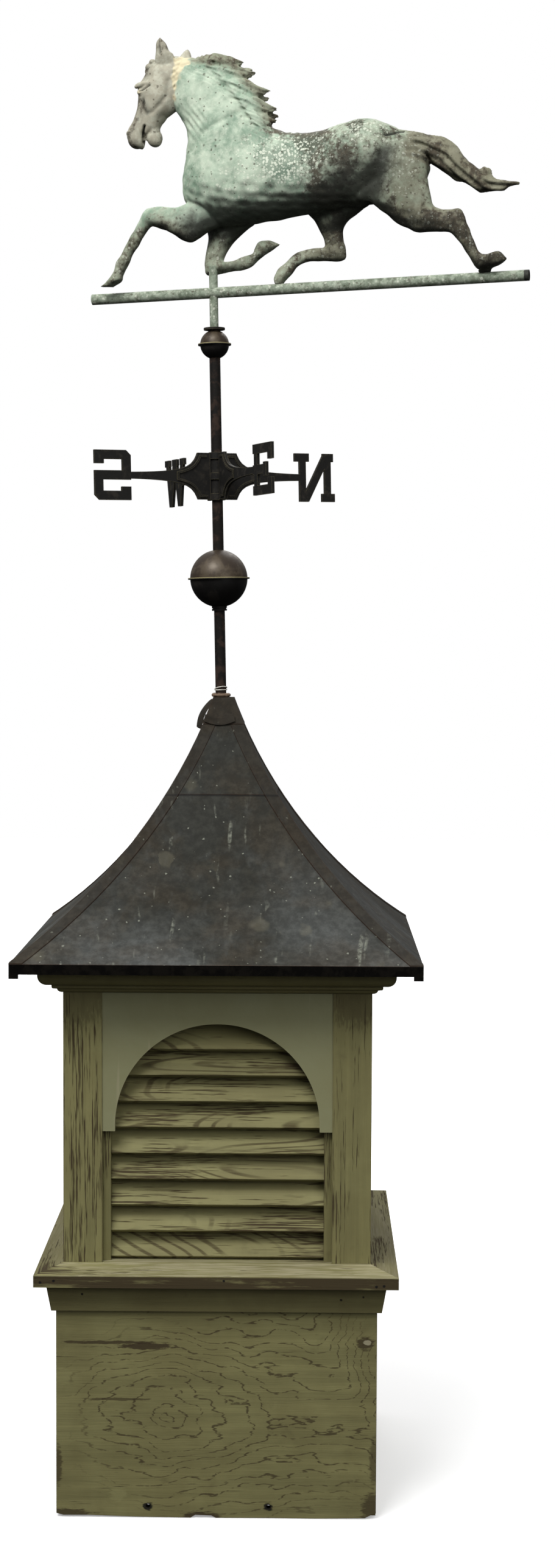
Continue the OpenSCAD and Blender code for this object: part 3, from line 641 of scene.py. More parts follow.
def painted_wood(name, grain, wear, rings=0.0, contours=0.0, pitch=0.0, floor=0.0, silver=0.0, dark=0.0,
                 edge_below=None, marks=()):
    """Worn olive paint. Grain is the axis that the wood's fibres run along. Pitch gives each louvre, counted
    up from floor, wood of its own. Broad brown patches show below edge_below, and silver wood above it. A
    mark is x, z, its two half sizes, its strength and its finish."""
    c = finishes()
    material, g, shader = start_material(name, specular_ior_level=0.25)
    place = g.place()
    parts = g.axes(place)
    x, y, z = (parts[n] for n in GRAIN_ORDER[grain])
    if pitch:
        shift_along, shift_across = 3.7, 0.83
        board = g.math("FLOOR", g.math("DIVIDE", g.math("SUBTRACT", parts[2], floor), pitch))
        x = g.math("ADD", x, g.math("MULTIPLY", board, shift_along))
        y = g.math("ADD", y, g.math("MULTIPLY", board, shift_across))
    v = g.joined(x, y, z)
    wood = g.group("open_grain", {"Vector": v, "Wear": wear, "Rings": rings})
    cloud = g.group("cloud", {"Vector": v, "Scale": 7.0, "Low": 0.35, "High": 0.7})
    grime = g.group("cloud", {"Vector": place, "Scale": 22.0, "Low": 0.56, "High": 0.85})
    edge = g.group("edge_wear_and_highlight", {"Width": 0.003})
    color = g.mix(g.math("MULTIPLY", cloud["Cloud"], 0.55), c.paint, c.paint_pale)
    tone = g.limit(wood["Tone"], 0.35, 0.65, 0.86, 1.1)
    color = g.shaded(color, tone)
    color = g.mix(g.math("MULTIPLY", grime["Cloud"], 0.3), color, c.bare)
    if silver:
        above = g.limit(parts[2], edge_below - 0.002, edge_below, 0.0, silver)
        color = g.mix(g.math("MULTIPLY", above, g.limit(wood["Height"], 0.38, 0.52)), color, c.silver)
    rubbed = g.math("MULTIPLY", edge["Edge"], g.limit(wood["Tone"], 0.4, 0.6, 0.1, 0.9))
    bare = g.math("MAXIMUM", wood["Bare"], rubbed)
    if contours:
        lines = g.group("contours", {"Vector": g.joined(x, 0.0, z)})
        bare = g.math("MAXIMUM", bare, g.math("MULTIPLY", lines["Line"], contours))
    if edge_below:
        patch = g.limit(g.noise(g.stretch(v, (6, 6, 60)), 1.0, 5.0, 0.7), 0.32, 0.48, 0.1, 1.0)
        below = g.limit(parts[2], edge_below, edge_below - 0.002)
        bare = g.math("MAXIMUM", bare, g.math("MULTIPLY", patch, below))
    color = g.mix(g.math("MULTIPLY", bare, 0.92), color, c.bare)
    if dark:
        color = g.mix(dark, color, c.bare)
    ragged = g.swing(g.noise(g.stretch(v, (60, 260, 260)), 1.0, 3.0), 1.6)
    for mark_x, mark_z, half_x, half_z, strength, tint in marks:
        reach = g.math("ADD", g.oval(place, (mark_x, 0, mark_z), (1 / half_x, 0, 1 / half_z)), ragged)
        color = g.mix(g.limit(reach, 1.15, 0.75, 0.0, strength), color, getattr(c, tint))
    finish(g, shader, color, g.limit(bare, 0.0, 1.0, 0.66, 0.9), wood["Height"], 0.0010, 0.6)
    return material


def smooth_panel(name):
    """Smooth paint with faint clouds, a few pale drips and pale edges, which are a painted highlight."""
    c = finishes()
    material, g, shader = start_material(name, specular_ior_level=0.35)
    place = g.place()
    cloud = g.group("cloud", {"Vector": place, "Scale": 6.0, "Low": 0.35, "High": 0.7})
    drips = g.noise(g.stretch(place, (60, 60, 4)), 1.0, 2.0)
    edge = g.group("edge_wear_and_highlight", {"Width": 0.0025})
    color = g.mix(g.math("MULTIPLY", cloud["Cloud"], 0.35), c.panel, c.paint)
    color = g.mix(g.limit(drips, 0.66, 0.76, 0.0, 0.35), color, c.silver)
    # Painted highlight: the sharp edges are made pale, as a rounded edge would catch the light.
    color = g.mix(g.math("MULTIPLY", edge["Edge"], 0.35), color, c.silver)
    finish(g, shader, color, 0.52, g.noise(place, 160.0, 2.0), 0.0003, 0.5)
    return material


def roof_metal(name, bloom=1.0, drips=1.0, dark=0.0, warm=0.0, across=(1, 0.22)):
    """Dark oxidised copper with grey-blue bloom low down, pale drips that run down the slope, spots, olive
    blots and a shadow under the seam. Dark and warm lay black and brown over it all, and across is how tight
    the drips are along X and along Y."""
    c = finishes()
    material, g, shader = start_material(name, specular_ior_level=0.1)
    place = g.place()
    low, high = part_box("roof_front")
    z = g.axes(place)[2]
    cloud = g.group("cloud", {"Vector": place, "Scale": 9.0, "Low": 0.4, "High": 0.62})
    broad = g.stretch(place, (3.2, 3.2, 2.2))
    wide = g.group("cloud", {"Vector": broad, "Scale": 1.0, "Low": 0.36, "High": 0.64})
    depth = g.limit(z, low.z, low.z + 0.62 * (high.z - low.z), 1.0, 0.12)
    blue = g.math("MULTIPLY", g.math("MULTIPLY", depth, wide["Cloud"]), bloom)
    color = g.mix(blue, c.copper, c.copper_blue)
    color = g.mix(g.math("MULTIPLY", cloud["Cloud"], 0.22), color, c.umber)
    color = g.mix(warm, color, c.umber)
    streak = g.noise(g.stretch(place, (34, 34, 4)), 1.0, 3.0, 0.6, 0.6)
    color = g.mix(g.limit(streak, 0.52, 0.75, 0.0, 0.3), color, c.copper_blue)
    sway = g.math("MULTIPLY", g.noise(place, 9.0, 2.0), 0.02)
    downhill = g.joined(*(g.math("ADD", axis, sway) for axis in g.axes(g.stretch(place, (*across, 0.11)))))
    run = g.group("spots", {"Vector": downhill, "Scale": 96.0, "Size": 0.6, "Share": 0.34, "Soft": 0.34})
    dots = g.group("spots", {"Vector": place, "Scale": 130.0, "Size": 0.3, "Share": 0.14})
    tall = g.stretch(place, (1, 1, 0.7))
    blots = g.group("spots", {"Vector": tall, "Scale": 22.0, "Size": 0.5, "Share": 0.2, "Soft": 0.22})
    patch = g.limit(g.noise(place, 5.0, 2.0), 0.40, 0.58)
    ragged = g.limit(g.noise(place, 120.0, 3.0), 0.36, 0.6, 0.1, 1.0)
    marks = g.math("MULTIPLY", run["Spot"], g.math("MULTIPLY", patch, ragged))
    marks = g.math("MULTIPLY", marks, 0.5 * drips)
    grain = g.limit(g.noise(place, 60.0, 4.0, 0.7), 0.35, 0.7, 0.75, 1.25)
    color = g.shaded(color, grain)
    color = g.mix(g.math("MULTIPLY", blots["Spot"], 0.16 * drips), color, c.dull)
    color = g.mix(marks, color, c.drip_mark)
    color = g.mix(g.math("MULTIPLY", dots["Spot"], 0.6 * drips), color, c.drip_mark)
    shadow_drop = 0.0016
    from_shadow = g.math("ABSOLUTE", g.math("SUBTRACT", z, sizes().seam_z - shadow_drop))
    color = g.mix(g.limit(from_shadow, 0.0030, 0.0008, dark, 0.75), color, c.black)
    edge = g.group("edge_wear_and_highlight", {"Width": 0.002})
    color = g.mix(g.math("MULTIPLY", edge["Edge"], 0.35), color, c.rust)
    rough = g.limit(cloud["Raw"], 0.35, 0.7, 0.6, 0.8)
    height = g.math("ADD", g.noise(place, 7.0, 2.0), g.math("MULTIPLY", marks, 0.15))
    finish(g, shader, color, rough, height, 0.004, 0.35)
    return material


def dark_metal(name, base, second, share, rough, metal, relief=0.0006, scale=45.0, seam=None,
               seam_color=None, shine=0.2):
    """Cast or rolled metal: a base colour with blotches of a second one and a fine pitted relief. Rough is
    its least and most roughness. At the height seam, measured along the mast, a thin line runs round it."""
    material, g, shader = start_material(name, specular_ior_level=shine, metallic=metal)
    place = g.place()
    low, high = 0.62 - share / 3, 0.8 - share / 3
    cloud = g.group("cloud", {"Vector": place, "Scale": scale, "Low": low, "High": high})
    pits = g.group("spots", {"Vector": place, "Scale": 320.0, "Size": 0.4, "Share": 0.3})
    edge = g.group("edge_wear_and_highlight", {"Width": 0.0015})
    color = g.mix(cloud["Cloud"], base, second)
    # Edges take the seam colour, or else the second colour. On the compass castings the pale seam colour is a
    # painted highlight along the ribs.
    color = g.mix(g.math("MULTIPLY", edge["Edge"], 0.5), color, seam_color or second)
    if seam:
        away = g.math("ABSOLUTE", g.math("SUBTRACT", g.along(place, MAST_UP), seam))
        color = g.mix(g.limit(away, 0.0022, 0.0012, 0.0, 0.8), color, seam_color)
    height = g.math("SUBTRACT", cloud["Raw"], g.math("MULTIPLY", pits["Spot"], 0.35))
    finish(g, shader, color, g.limit(cloud["Raw"], 0.3, 0.7, *rough), height, relief, 0.8)
    return material


def patina(name, base, deep, flecks=0.5, brown=0.3, scale=18.0, marked=True, dark_end=None):
    """Green patina over brown copper with white flecks and dark pits. Marked pieces carry the numbers brown,
    dull, fleck, solder and one for grime with painted shade for each point, and on the others flecks and
    brown are the same all over.
    Dark_end is a direction and the distance along it from which the piece turns dark."""
    c = finishes()
    material, g, shader = start_material(name, specular_ior_level=0.3)
    place = g.place()
    soft = g.group("cloud", {"Vector": place, "Scale": scale, "Low": 0.36, "High": 0.66})
    fine = g.group("cloud", {"Vector": place, "Scale": 85.0, "Low": 0.42, "High": 0.62})
    chips = g.group("spots", {"Vector": place, "Scale": 165.0, "Size": 0.56, "Share": 0.6})
    grit = g.group("spots", {"Vector": place, "Scale": 330.0, "Size": 0.5, "Share": 0.5})
    pits = g.group("spots", {"Vector": place, "Scale": 130.0, "Size": 0.34, "Share": 0.36})
    color = g.mix(soft["Cloud"], base, deep)
    color = g.mix(g.math("MULTIPLY", fine["Cloud"], 0.22), color, c.fleck)
    amount = g.attribute("brown") if marked else brown
    uneven = g.math("ADD", g.swing(fine["Raw"], 1.5), g.swing(soft["Raw"], 1.3))
    shown = g.limit(g.math("ADD", amount, uneven), 0.3, 0.72)
    if marked:
        dull = g.math("ADD", g.attribute("dull"), g.swing(fine["Raw"], 0.7))
        color = g.mix(g.limit(dull, 0.1, 0.9, 0.0, 0.9), color, c.dull)
    soot = g.limit(g.noise(place, 130.0, 4.0, 0.7), 0.42, 0.62, 0.0, 0.55)
    color = g.mix(g.math("MULTIPLY", shown, 0.9), color, g.mix(soot, c.umber, c.deep))
    share = g.attribute("fleck") if marked else flecks
    here = g.limit(g.math("ADD", share, g.swing(fine["Raw"], 1.6)), 0.15, 0.8)
    chip = g.math("MULTIPLY", g.math("MAXIMUM", chips["Spot"], g.math("MULTIPLY", grit["Spot"], 0.7)), here)
    if marked:
        ground = g.limit(g.math("ADD", share, g.swing(soft["Raw"], 0.8)), 0.45, 0.95)
        crust = g.group("spots", {"Vector": place, "Scale": 200.0, "Size": 0.66, "Share": 0.95})
        color = g.mix(g.math("MULTIPLY", ground, 0.62), color, [v * 0.5 for v in deep])
        chip = g.math("MAXIMUM", chip, g.math("MULTIPLY", crust["Spot"], ground))
    color = g.mix(g.math("MULTIPLY", chip, 0.72), color, c.fleck)
    color = g.mix(g.math("MULTIPLY", pits["Spot"], 0.6), color, c.bare)
    if marked:
        color = g.mix(g.attribute("solder"), color, c.solder)
        # Grime with painted shade: the marked pieces' undersides, folds and hollows are darkened towards the
        # deep green-black.
        dirt_and_shade = g.math("ADD", g.attribute("dirt_and_shade"), g.swing(fine["Raw"], 0.6))
        color = g.mix(g.limit(dirt_and_shade, 0.05, 1.0, 0.0, 0.95), color, c.deep)
    if dark_end:
        direction, start = dark_end
        color = g.mix(g.limit(g.along(place, direction), start, start + 0.002, 0.0, 0.92), color, c.black)
    height = g.math("ADD", g.math("MULTIPLY", fine["Raw"], 0.8),
                    g.math("SUBTRACT", g.math("MULTIPLY", chip, 0.3), g.math("MULTIPLY", pits["Spot"], 0.5)))
    finish(g, shader, color, g.limit(fine["Raw"], 0.3, 0.7, 0.6, 0.85), height, 0.0011, 0.8)
    return material


def plain_finish(name, color, rough, scale, depth):
    """One colour, darkened and lightened by fine noise, with a matching relief."""
    material, g, shader = start_material(name)
    place = g.place()
    cloud = g.group("cloud", {"Vector": place, "Scale": scale, "Low": 0.3, "High": 0.7})
    darker = [v * 0.55 for v in color]
    finish(g, shader, g.mix(cloud["Cloud"], darker, color), rough, cloud["Raw"], depth, 0.8)
    return material


def dress(material, *nodes):
    """Gives CAD nodes a material."""
    for name in nodes:
        slots = frame["nodes"][name].data.materials
        slots.clear()
        slots.append(material)


# ---- Woodwork --------------------------------------------------------------------

# Marks in the paint, seen from the front: x, z, half width, half height, strength and finish.
BOARD_MARKS = [
    (0.283, 0.341, 0.017, 0.013, 0.85, "bare"), (0.287, 0.343, 0.007, 0.005, 0.8, "silver"),
    (-0.205, 0.340, 0.100, 0.0032, 0.85, "bare"), (-0.135, 0.333, 0.052, 0.0062, 0.9, "bare"),
    (-0.292, 0.275, 0.017, 0.016, 0.4, "paint_pale"), (-0.186, 0.044, 0.016, 0.014, 0.6, "paint_pale"),
    (-0.296, 0.006, 0.060, 0.010, 0.8, "bare"), (0.300, 0.020, 0.022, 0.034, 0.75, "bare"),
    (-0.028, 0.004, 0.035, 0.008, 0.9, "bare"), (0.303, 0.114, 0.012, 0.045, 0.6, "bare"),
    (-0.303, 0.100, 0.009, 0.040, 0.7, "bare"), (-0.130, 0.022, 0.010, 0.008, 0.95, "black"),
    (0.100, 0.022, 0.009, 0.008, 0.95, "black"), (-0.190, 0.230, 0.060, 0.0030, 0.7, "bare")]
# Dark brown at the posts' tops just below the eave: painted shade from the eave, with some grime.
EAVE_SHADE_AND_GRIME = [(x, 1.02, 0.07, 0.075, 0.4, "bare") for x in (-0.264, 0.264)]
SILL_NAILS = [(-0.331, 0.466), (-0.3055, 0.469), (0.302, 0.462), (0.316, 0.463), (0.015, 0.471)]
MOULDING_NAILS = [(-0.254, 0.437), (0.278, 0.435), (0.236, 0.429)]


def nail_heads(places, radius):
    """A round black mark at each x and z."""
    return [(x, z, radius, radius, 0.95, "black") for x, z in places]


class CUPOLA_OT_woodwork(bpy.types.Operator):
    """Paint the base, sill, posts, louvres, arched panels and cornice, each along its own grain"""
    bl_idname = "cupola.woodwork"
    bl_label = "Paint the woodwork"

    def execute(self, context):
        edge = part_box("sill_front_back")[0].z + sizes().sill_edge
        louvre = {"rings": 0.8, "pitch": sizes().louvre_pitch, "floor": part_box("post_front_left")[0].z}
        board = {"contours": 0.85}
        sill_front = {"silver": 0.75, "edge_below": edge, "marks": nail_heads(SILL_NAILS, 0.0026)}
        sill_side = {"silver": 0.35, "dark": 0.3, "edge_below": edge}
        moulding = {"dark": 0.3, "marks": nail_heads(MOULDING_NAILS, 0.0024)}
        posts = ["post_" + corner for corner in ("front_left", "front_right", "back_left", "back_right")]
        coats = [
            ("paint_base_front", "x", 0.3, {**board, "marks": BOARD_MARKS}, ["base_front"]),
            ("paint_base_x", "x", 0.35, board, ["base_back"]),
            ("paint_base_y", "y", 0.35, board, ["base_left", "base_right"]),
            ("paint_moulding_x", "x", 0.3, moulding, ["base_moulding_front_back"]),
            ("paint_moulding_y", "y", 0.3, {"dark": 0.3}, ["base_moulding_sides"]),
            ("paint_sill_x", "x", 0.9, sill_front, ["sill_front_back"]),
            ("paint_sill_y", "y", 1.0, sill_side, ["sill_sides"]),
            ("paint_post", "z", 0.8, {"marks": EAVE_SHADE_AND_GRIME}, [*posts, "louvre_frames"]),
            ("paint_slat_x", "x", 0.85, louvre, ["louvres_front", "louvres_back"]),
            ("paint_slat_y", "y", 0.85, louvre, ["louvres_left", "louvres_right"]),
            # The cornice and soffit frame get dark, which lays bare-wood brown over the paint as painted
            # shade under the eave.
            ("paint_cornice_x", "x", 0.2, {"dark": 0.25}, ["cornice_front_back"]),
            ("paint_cornice_y", "y", 0.2, {"dark": 0.25}, ["cornice_sides", "soffit_frame"])]
        for name, grain, wear, options, nodes in coats:
            dress(painted_wood(name, grain, wear, **options), *nodes)
        dress(smooth_panel("panel_paint"), "arch_front", "arch_right", "arch_back", "arch_left")
        dress(plain_finish("sawn_timber", shade("7a664a"), 0.85, 40.0, 0.001), "mast_beam")
        return {"FINISHED"}


# ---- Roof ------------------------------------------------------------------------

def slope(t):
    """The roof's outline at a share t of its rise, as (half width, height): a circular arc through the eave
    and the top. Its radius is a quarter of the chord squared, plus the sag squared, over twice the sag."""
    low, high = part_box("roof_front")
    points = node_points("roof_front")
    hair = 1e-5
    eave, top = -low.y, -points[points[:, 2] > high.z - hair][:, 1].min()
    a, b = np.array([eave, low.z]), np.array([top, high.z])
    chord = np.linalg.norm(b - a)
    sag = sizes().roof_sag
    radius = (chord ** 2 / 4 + sag ** 2) / (2 * sag)
    normal = np.array([high.z - low.z, eave - top]) / chord
    centre = (a + b) / 2 + normal * (radius - sag)
    z = low.z + np.asarray(t, float) * (high.z - low.z)
    return centre[0] - np.sqrt(radius ** 2 - (z - centre[1]) ** 2), z


def quarter_turns(points, side):
    """Points turned about Z by a number of quarter turns."""
    x, y, z = points.T
    c, s = ((1, 0), (0, 1), (-1, 0), (0, -1))[side]
    return np.stack([c * x - s * y, s * x + c * y, z], -1)


class CUPOLA_OT_roof(bpy.types.Operator):
    """Colour the roof sheets, straps, cap and drip edge, and lay the upper sheets down to the level seam"""
    bl_idname = "cupola.roof"
    bl_label = "Finish the roof"

    def execute(self, context):
        metal = roof_metal("roof_copper")
        dress(metal, "roof_front", "roof_back")
        dress(roof_metal("roof_copper_left", across=(0.22, 1)), "roof_left")
        # The right sheet is a shaded copy of the roof copper: its dark lays black over all of it as painted
        # shade, on the side that faces away from the key light.
        dress(roof_metal("roof_copper_right_painted_shade", bloom=0.7, drips=0.8, dark=0.3, across=(0.22, 1)), "roof_right")
        dress(roof_metal("strap_copper", bloom=0.3, drips=0.7, dark=0.32, warm=0.22), "hip_straps")
        dress(roof_metal("cap_copper", bloom=0.0, drips=0.3, dark=0.42, warm=0.35), "roof_cap")
        drip = dark_metal("drip_black", shade("080706"), shade("12100d"), 0.6, (0.8, 0.95), 0.0, shine=0.04)
        dress(drip, "drip_edge")
        self.upper_sheets(metal)
        return {"FINISHED"}

    def upper_sheets(self, metal):
        """The slope from the seam to the cap, pushed out by the sheet's step, which is its lower lip."""
        low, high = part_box("roof_front")
        start, end = (sizes().seam_z - low.z) / (high.z - low.z), 0.985
        lip, narrowest, rows, columns = 0.002, 0.002, 24, 9
        half, z = slope(np.linspace(start, end, rows))
        out = half + sizes().sheet_step
        half, out, z = (np.r_[v[0], v][:, None] for v in (half, out, z))
        out[0] = half[0] - lip
        width = np.maximum(half - sizes().strap_half * 0.9, narrowest)
        across = np.linspace(-1, 1, columns)
        level = np.ones(columns)
        front = np.stack([width * across, -out * level, z * level], -1)
        shapes = [(quarter_turns(front.reshape(-1, 3), n), grid_faces(len(z), columns)) for n in range(4)]
        mesh = mesh_of("upper_sheets", *joined(shapes))
        add_piece("roof_upper_sheets", mesh, metal, "cupola", smooth=False)


# ---- Cap, sealant and wire -------------------------------------------------------

def mast_radius():
    """The mast's radius, from its width across the lean."""
    low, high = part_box("mast")
    return (high.y - low.y) / 2


class CUPOLA_OT_cap(bpy.types.Operator):
    """Lay the lumpy sealant round the mast's foot, wind the white wire over it and bend the cap's sheets"""
    bl_idname = "cupola.cap"
    bl_label = "Seal the mast's foot"

    def execute(self, context):
        self.sealant()
        self.wire()
        self.flap()
        return {"FINISHED"}

    def flap(self):
        """Two bowed grids. The flap hangs out from the cap's left side, further out as it goes down, and the
        lip is the cap's lower edge at the front, lower in the middle as a parabola."""
        low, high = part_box("roof_cap")
        rows, columns = 14, 12
        t, a = np.meshgrid(np.linspace(0, 1, rows), np.linspace(-1, 1, columns), indexing="ij")
        x = low.x * (0.62 + 0.68 * t ** 0.8) - 0.006 * np.sin(3 * t)
        y = (0.020 + 0.014 * t) * a
        z = high.z - 0.004 - (high.z - low.z + 0.002) * t * (1 - 0.10 * a)
        flap = np.stack([x + 0.012 * a ** 2, y, z], -1)
        reach = -low.y + 0.0012
        lip = np.stack([reach * (0.74 * a - 0.18) * (1 - 0.1 * t), -reach - 0.001 + 0.10 * reach * t,
                        low.z + 0.006 + 0.013 * t - 0.008 * (1 - a ** 2)], -1)
        shapes = [(p.reshape(-1, 3), grid_faces(rows, columns)) for p in (flap, lip)]
        mesh = mesh_of("cap_sheets", *joined(shapes))
        material = roof_metal("cap_sheet", bloom=0.0, drips=0.2, dark=0.5, warm=0.35)
        add_piece("cap_flap", mesh, material, "cupola")

    def sealant(self):
        """A squashed ring round the mast: a circle of section carried round, its radius and height waved."""
        low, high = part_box("flashing_collar")
        around, section_points = 72, 20
        inner, outer = mast_radius(), (high.x - low.x) / 2 - 0.001
        turn = np.linspace(0, 2 * np.pi, around, endpoint=False)[:, None]
        section = np.linspace(0, 2 * np.pi, section_points, endpoint=False)[None, :]
        wave = 1 + 0.10 * np.sin(sizes().lumps * turn + 1) + 0.06 * np.sin(11 * turn + 2 * section)
        middle, thick = (inner + outer) / 2, (outer - inner) / 2 + 0.0012
        radius = middle + thick * np.cos(section) * wave
        height = (high.z - low.z) / 2 * (1 + np.sin(section) * wave * 0.85)
        centre = mast_point((low.z + high.z) / 2)
        points = np.stack([centre.x + radius * np.cos(turn), centre.y + radius * np.sin(turn),
                           low.z - 0.0005 + height], -1).reshape(-1, 3)
        mesh = mesh_of("sealant", points, outward(points, ring_faces(around, section_points)))
        material = plain_finish("sealant", shade("75604d"), 0.8, 90.0, 0.001)
        add_piece("mast_sealant", mesh, material, "cupola", ("flashing_collar",))

    def wire(self):
        """Two turns round the mast, each a thin round profile on a circle whose height is a sine. A turn is
        its share of the wire's height, its slant and where that starts."""
        low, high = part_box("mast_wire")
        r = sizes().wire_r
        reach = mast_radius() + r
        around, section_points = 48, 8
        t = np.linspace(0, 2 * np.pi, around, endpoint=False)
        a = np.linspace(0, 2 * np.pi, section_points, endpoint=False)[:, None]
        level, slanted = (0.32, 0.02, 0.0), (0.6, 0.3, 1.1)
        shapes = []
        for height, tilt, phase in (level, slanted):
            path = np.stack([reach * np.cos(t), reach * np.sin(t), reach * tilt * np.sin(t + phase)], -1)
            along = np.roll(path, -1, 0) - np.roll(path, 1, 0)
            along /= np.linalg.norm(along, axis=1)[:, None]
            out = path * (1, 1, 0) / reach
            side = np.cross(along, out)
            ring = path[:, None] + r * (np.cos(a) * out[:, None] + np.sin(a) * side[:, None])
            place = np.array(mast_matrix(low.z + height * (high.z - low.z)))
            points = ring.reshape(-1, 3) @ place[:3, :3].T + place[:3, 3]
            shapes.append((points, outward(points, ring_faces(around, section_points))))
        mesh = mesh_of("wire", *joined(shapes))
        material = plain_finish("wire_white", shade("d8d5ca"), 0.45, 60.0, 0.0002)
        add_piece("mast_wire_turns", mesh, material, "cupola", ("mast_wire",))


# ---- Mast, balls and compass -----------------------------------------------------

class CUPOLA_OT_mast(bpy.types.Operator):
    """Colour the mast, the two balls, the compass castings and the washer"""
    bl_idname = "cupola.mast"
    bl_label = "Finish the mast and compass"

    def execute(self, context):
        c = finishes()
        pipe = dark_metal("pipe_rust", shade("181614"), shade("352a24"), 0.5, (0.6, 0.85), 0.0, shine=0.12)
        dress(pipe, "mast")
        # The castings' edges take the pale seam colour as a painted highlight along their ribs.
        iron = dark_metal("compass_iron", c.iron, shade("2e2b26"), 0.35, (0.6, 0.85), 0.1,
                          seam_color=shade("7d7559"))
        dress(iron, "compass_hub", "arm_north", "arm_east", "arm_south", "arm_west", "bearing_washer")
        # The balls' lower halves are black as painted shade, dark where the light from above does not reach.
        # The collar shares this material.
        dark = dark_metal("ball_underside_painted_shade", c.black, shade("1f1c19"), 0.4, (0.45, 0.7), 0.2, 0.0003, 30.0)
        dress(dark, "big_ball_bottom", "small_ball_bottom", "big_ball_collar")
        for size in ("big", "small"):
            below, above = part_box(size + "_ball_top")[0].z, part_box(size + "_ball_bottom")[1].z
            seam = mast_point(below).dot(MAST_UP) + (above - below) / 2
            top = dark_metal(size + "_ball_bronze", c.bronze, shade("33291f"), 0.7, (0.4, 0.58), 0.25, 0.0003,
                             30.0, seam, shade("a39a72"), 0.35)
            dress(top, size + "_ball_top")
        return {"FINISHED"}


# ---- Horse -----------------------------------------------------------------------

# Places on the horse are in millimetres on the vane's own axes, and the head points towards minus X. Each
# row of a shape is a station for loft: top x, top z, bottom x, bottom z, half thickness, y.
BODY = [
    [436, 226, 436, 208, 10, 0], [424, 246, 426, 186, 28, 0], [404, 268, 410, 172, 38, 0],
    [382, 288, 392, 162, 46, 0], [350, 306, 358, 156, 52, 0], [312, 316, 320, 152, 54, 0],
    [272, 311, 275, 148, 53, 0], [225, 299, 225, 143, 51, 0], [185, 297, 178, 139, 52, 0],
    [146, 303, 124, 133, 54, 0], [124, 312, 72, 128, 54, 0], [116, 324, 26, 126, 53, 0],
    [112, 336, -14, 140, 51, 0], [108, 348, -42, 162, 48, 0], [104, 360, -57, 190, 45, 0],
    [98, 374, -58, 222, 42, 0], [88, 390, -54, 248, 39, 0], [72, 406, -50, 274, 36, 0],
    [50, 422, -46, 300, 33, 0], [22, 438, -52, 326, 31, 0], [-8, 450, -62, 346, 29, 0],
    [-34, 458, -76, 364, 26, 0], [-50, 458, -88, 384, 20, 0]]
TAIL = [
    [352, 286, 380, 256, 8, 0], [372, 291, 402, 251, 14, 0], [394, 287, 418, 240, 17, 0],
    [429, 280, 432, 232, 19, 0], [467, 266, 453, 213, 20, 0], [488, 253, 480, 193, 20, 0],
    [508, 229, 504, 181, 18, 0], [532, 207, 525, 167, 15, 0], [549, 196, 549, 161, 12, 0],
    [567, 186, 573, 162, 9, 0], [587, 182, 590, 167, 6, 0], [609, 176, 609, 170, 2, 0]]
TAIL_BARB = [[530, 206, 556, 190, 8, 0], [542, 208, 556, 196, 5, 0], [552, 206, 557, 201, 1.5, 0]]
LEG_RAISED = [
    [62, 205, 64, 160, 6, 0], [30, 200, 40, 140, 15, -3], [0, 190, 10, 124, 19, -7],
    [-54, 173, -6, 116, 20, -12], [-70, 168, -25, 104, 20, -17], [-93, 169, -42, 98, 20, -22],
    [-109, 171, -70, 112, 18, -28], [-124, 169, -93, 125, 16, -28], [-133, 160, -111, 132, 14, -28],
    [-141, 146, -119, 131, 11, -28], [-153, 127, -132, 115, 10, -28], [-166, 106, -144, 97, 9, -28],
    [-180, 82, -156, 81, 10, -28], [-191, 68, -162, 66, 12, -28], [-194, 55, -172, 52, 10, -28],
    [-202, 41, -179, 41, 11, -28], [-214, 28, -182, 30, 14, -28], [-226, 20, -199, 18, 11, -28]]
LEG_BENT = [
    [-30, 150, 88, 142, 22, 24], [-19, 126, 76, 130, 22, 24], [-16, 116, 52, 116, 22, 24],
    [-16, 104, 38, 102, 20, 22], [-18, 86, 25, 84, 17, 18], [-20, 68, 18, 68, 14, 13],
    [-20, 52, 20, 61, 13, 8], [-14, 36, 32, 61, 12, 6], [14, 37, 44, 63, 10, 10], [43, 43, 60, 71, 9, 15],
    [71, 47, 77, 76, 9, 19], [86, 62, 80, 83, 10, 22], [100, 72, 89, 97, 13, 24],
    [114, 80, 106, 101, 11, 25], [126, 87, 120, 96, 5, 26], [131, 90, 129, 92, 2, 26]]
LEG_FORWARD = [
    [180, 175, 335, 185, 26, 24], [186, 148, 315, 160, 27, 26], [200, 132, 290, 145, 27, 28],
    [210, 114, 268, 129, 23, 28], [219, 96, 258, 112, 18, 28], [221, 83, 258, 92, 15, 28],
    [217, 79, 263, 71, 14, 28], [206, 79, 260, 54, 13, 28], [188, 79, 235, 51, 11, 28],
    [172, 76, 199, 55, 10, 28], [155, 67, 178, 52, 10, 26], [141, 53, 165, 45, 12, 22],
    [128, 40, 157, 31, 14, 16], [122, 24, 145, 19, 15, 10], [124, 13, 141, 13, 12, 6],
    [127, 9, 139, 9, 9, 4]]
LEG_BACK = [
    [300, 205, 436, 248, 24, -20], [296, 162, 434, 230, 24, -24], [328, 146, 438, 200, 25, -28],
    [343, 138, 443, 166, 25, -30], [364, 119, 448, 139, 22, -30], [391, 100, 459, 131, 18, -30],
    [416, 89, 483, 128, 15, -30], [443, 87, 500, 127, 13, -30], [471, 86, 509, 114, 12, -30],
    [486, 79, 516, 94, 10, -30], [501, 62, 525, 70, 9, -28], [513, 40, 534, 46, 10, -24],
    [522, 25, 549, 40, 13, -20], [532, 14, 572, 47, 16, -16], [549, 13, 584, 35, 13, -13],
    [566, 18, 587, 31, 8, -12]]
HOOF_PAD = [[530, 14, 556, 14, 11, -6], [531, 9, 555, 9, 10, -4]]
MANE = [
    [-26, 458, -16, 430, 10, 0], [-6, 460, -6, 420, 18, 0], [18, 453, 8, 402, 25, 0],
    [44, 434, 28, 382, 30, 0], [66, 409, 48, 356, 34, 0], [86, 382, 66, 334, 37, 0],
    [102, 354, 82, 310, 39, 0], [116, 326, 104, 296, 34, 0], [134, 306, 122, 296, 16, 0]]
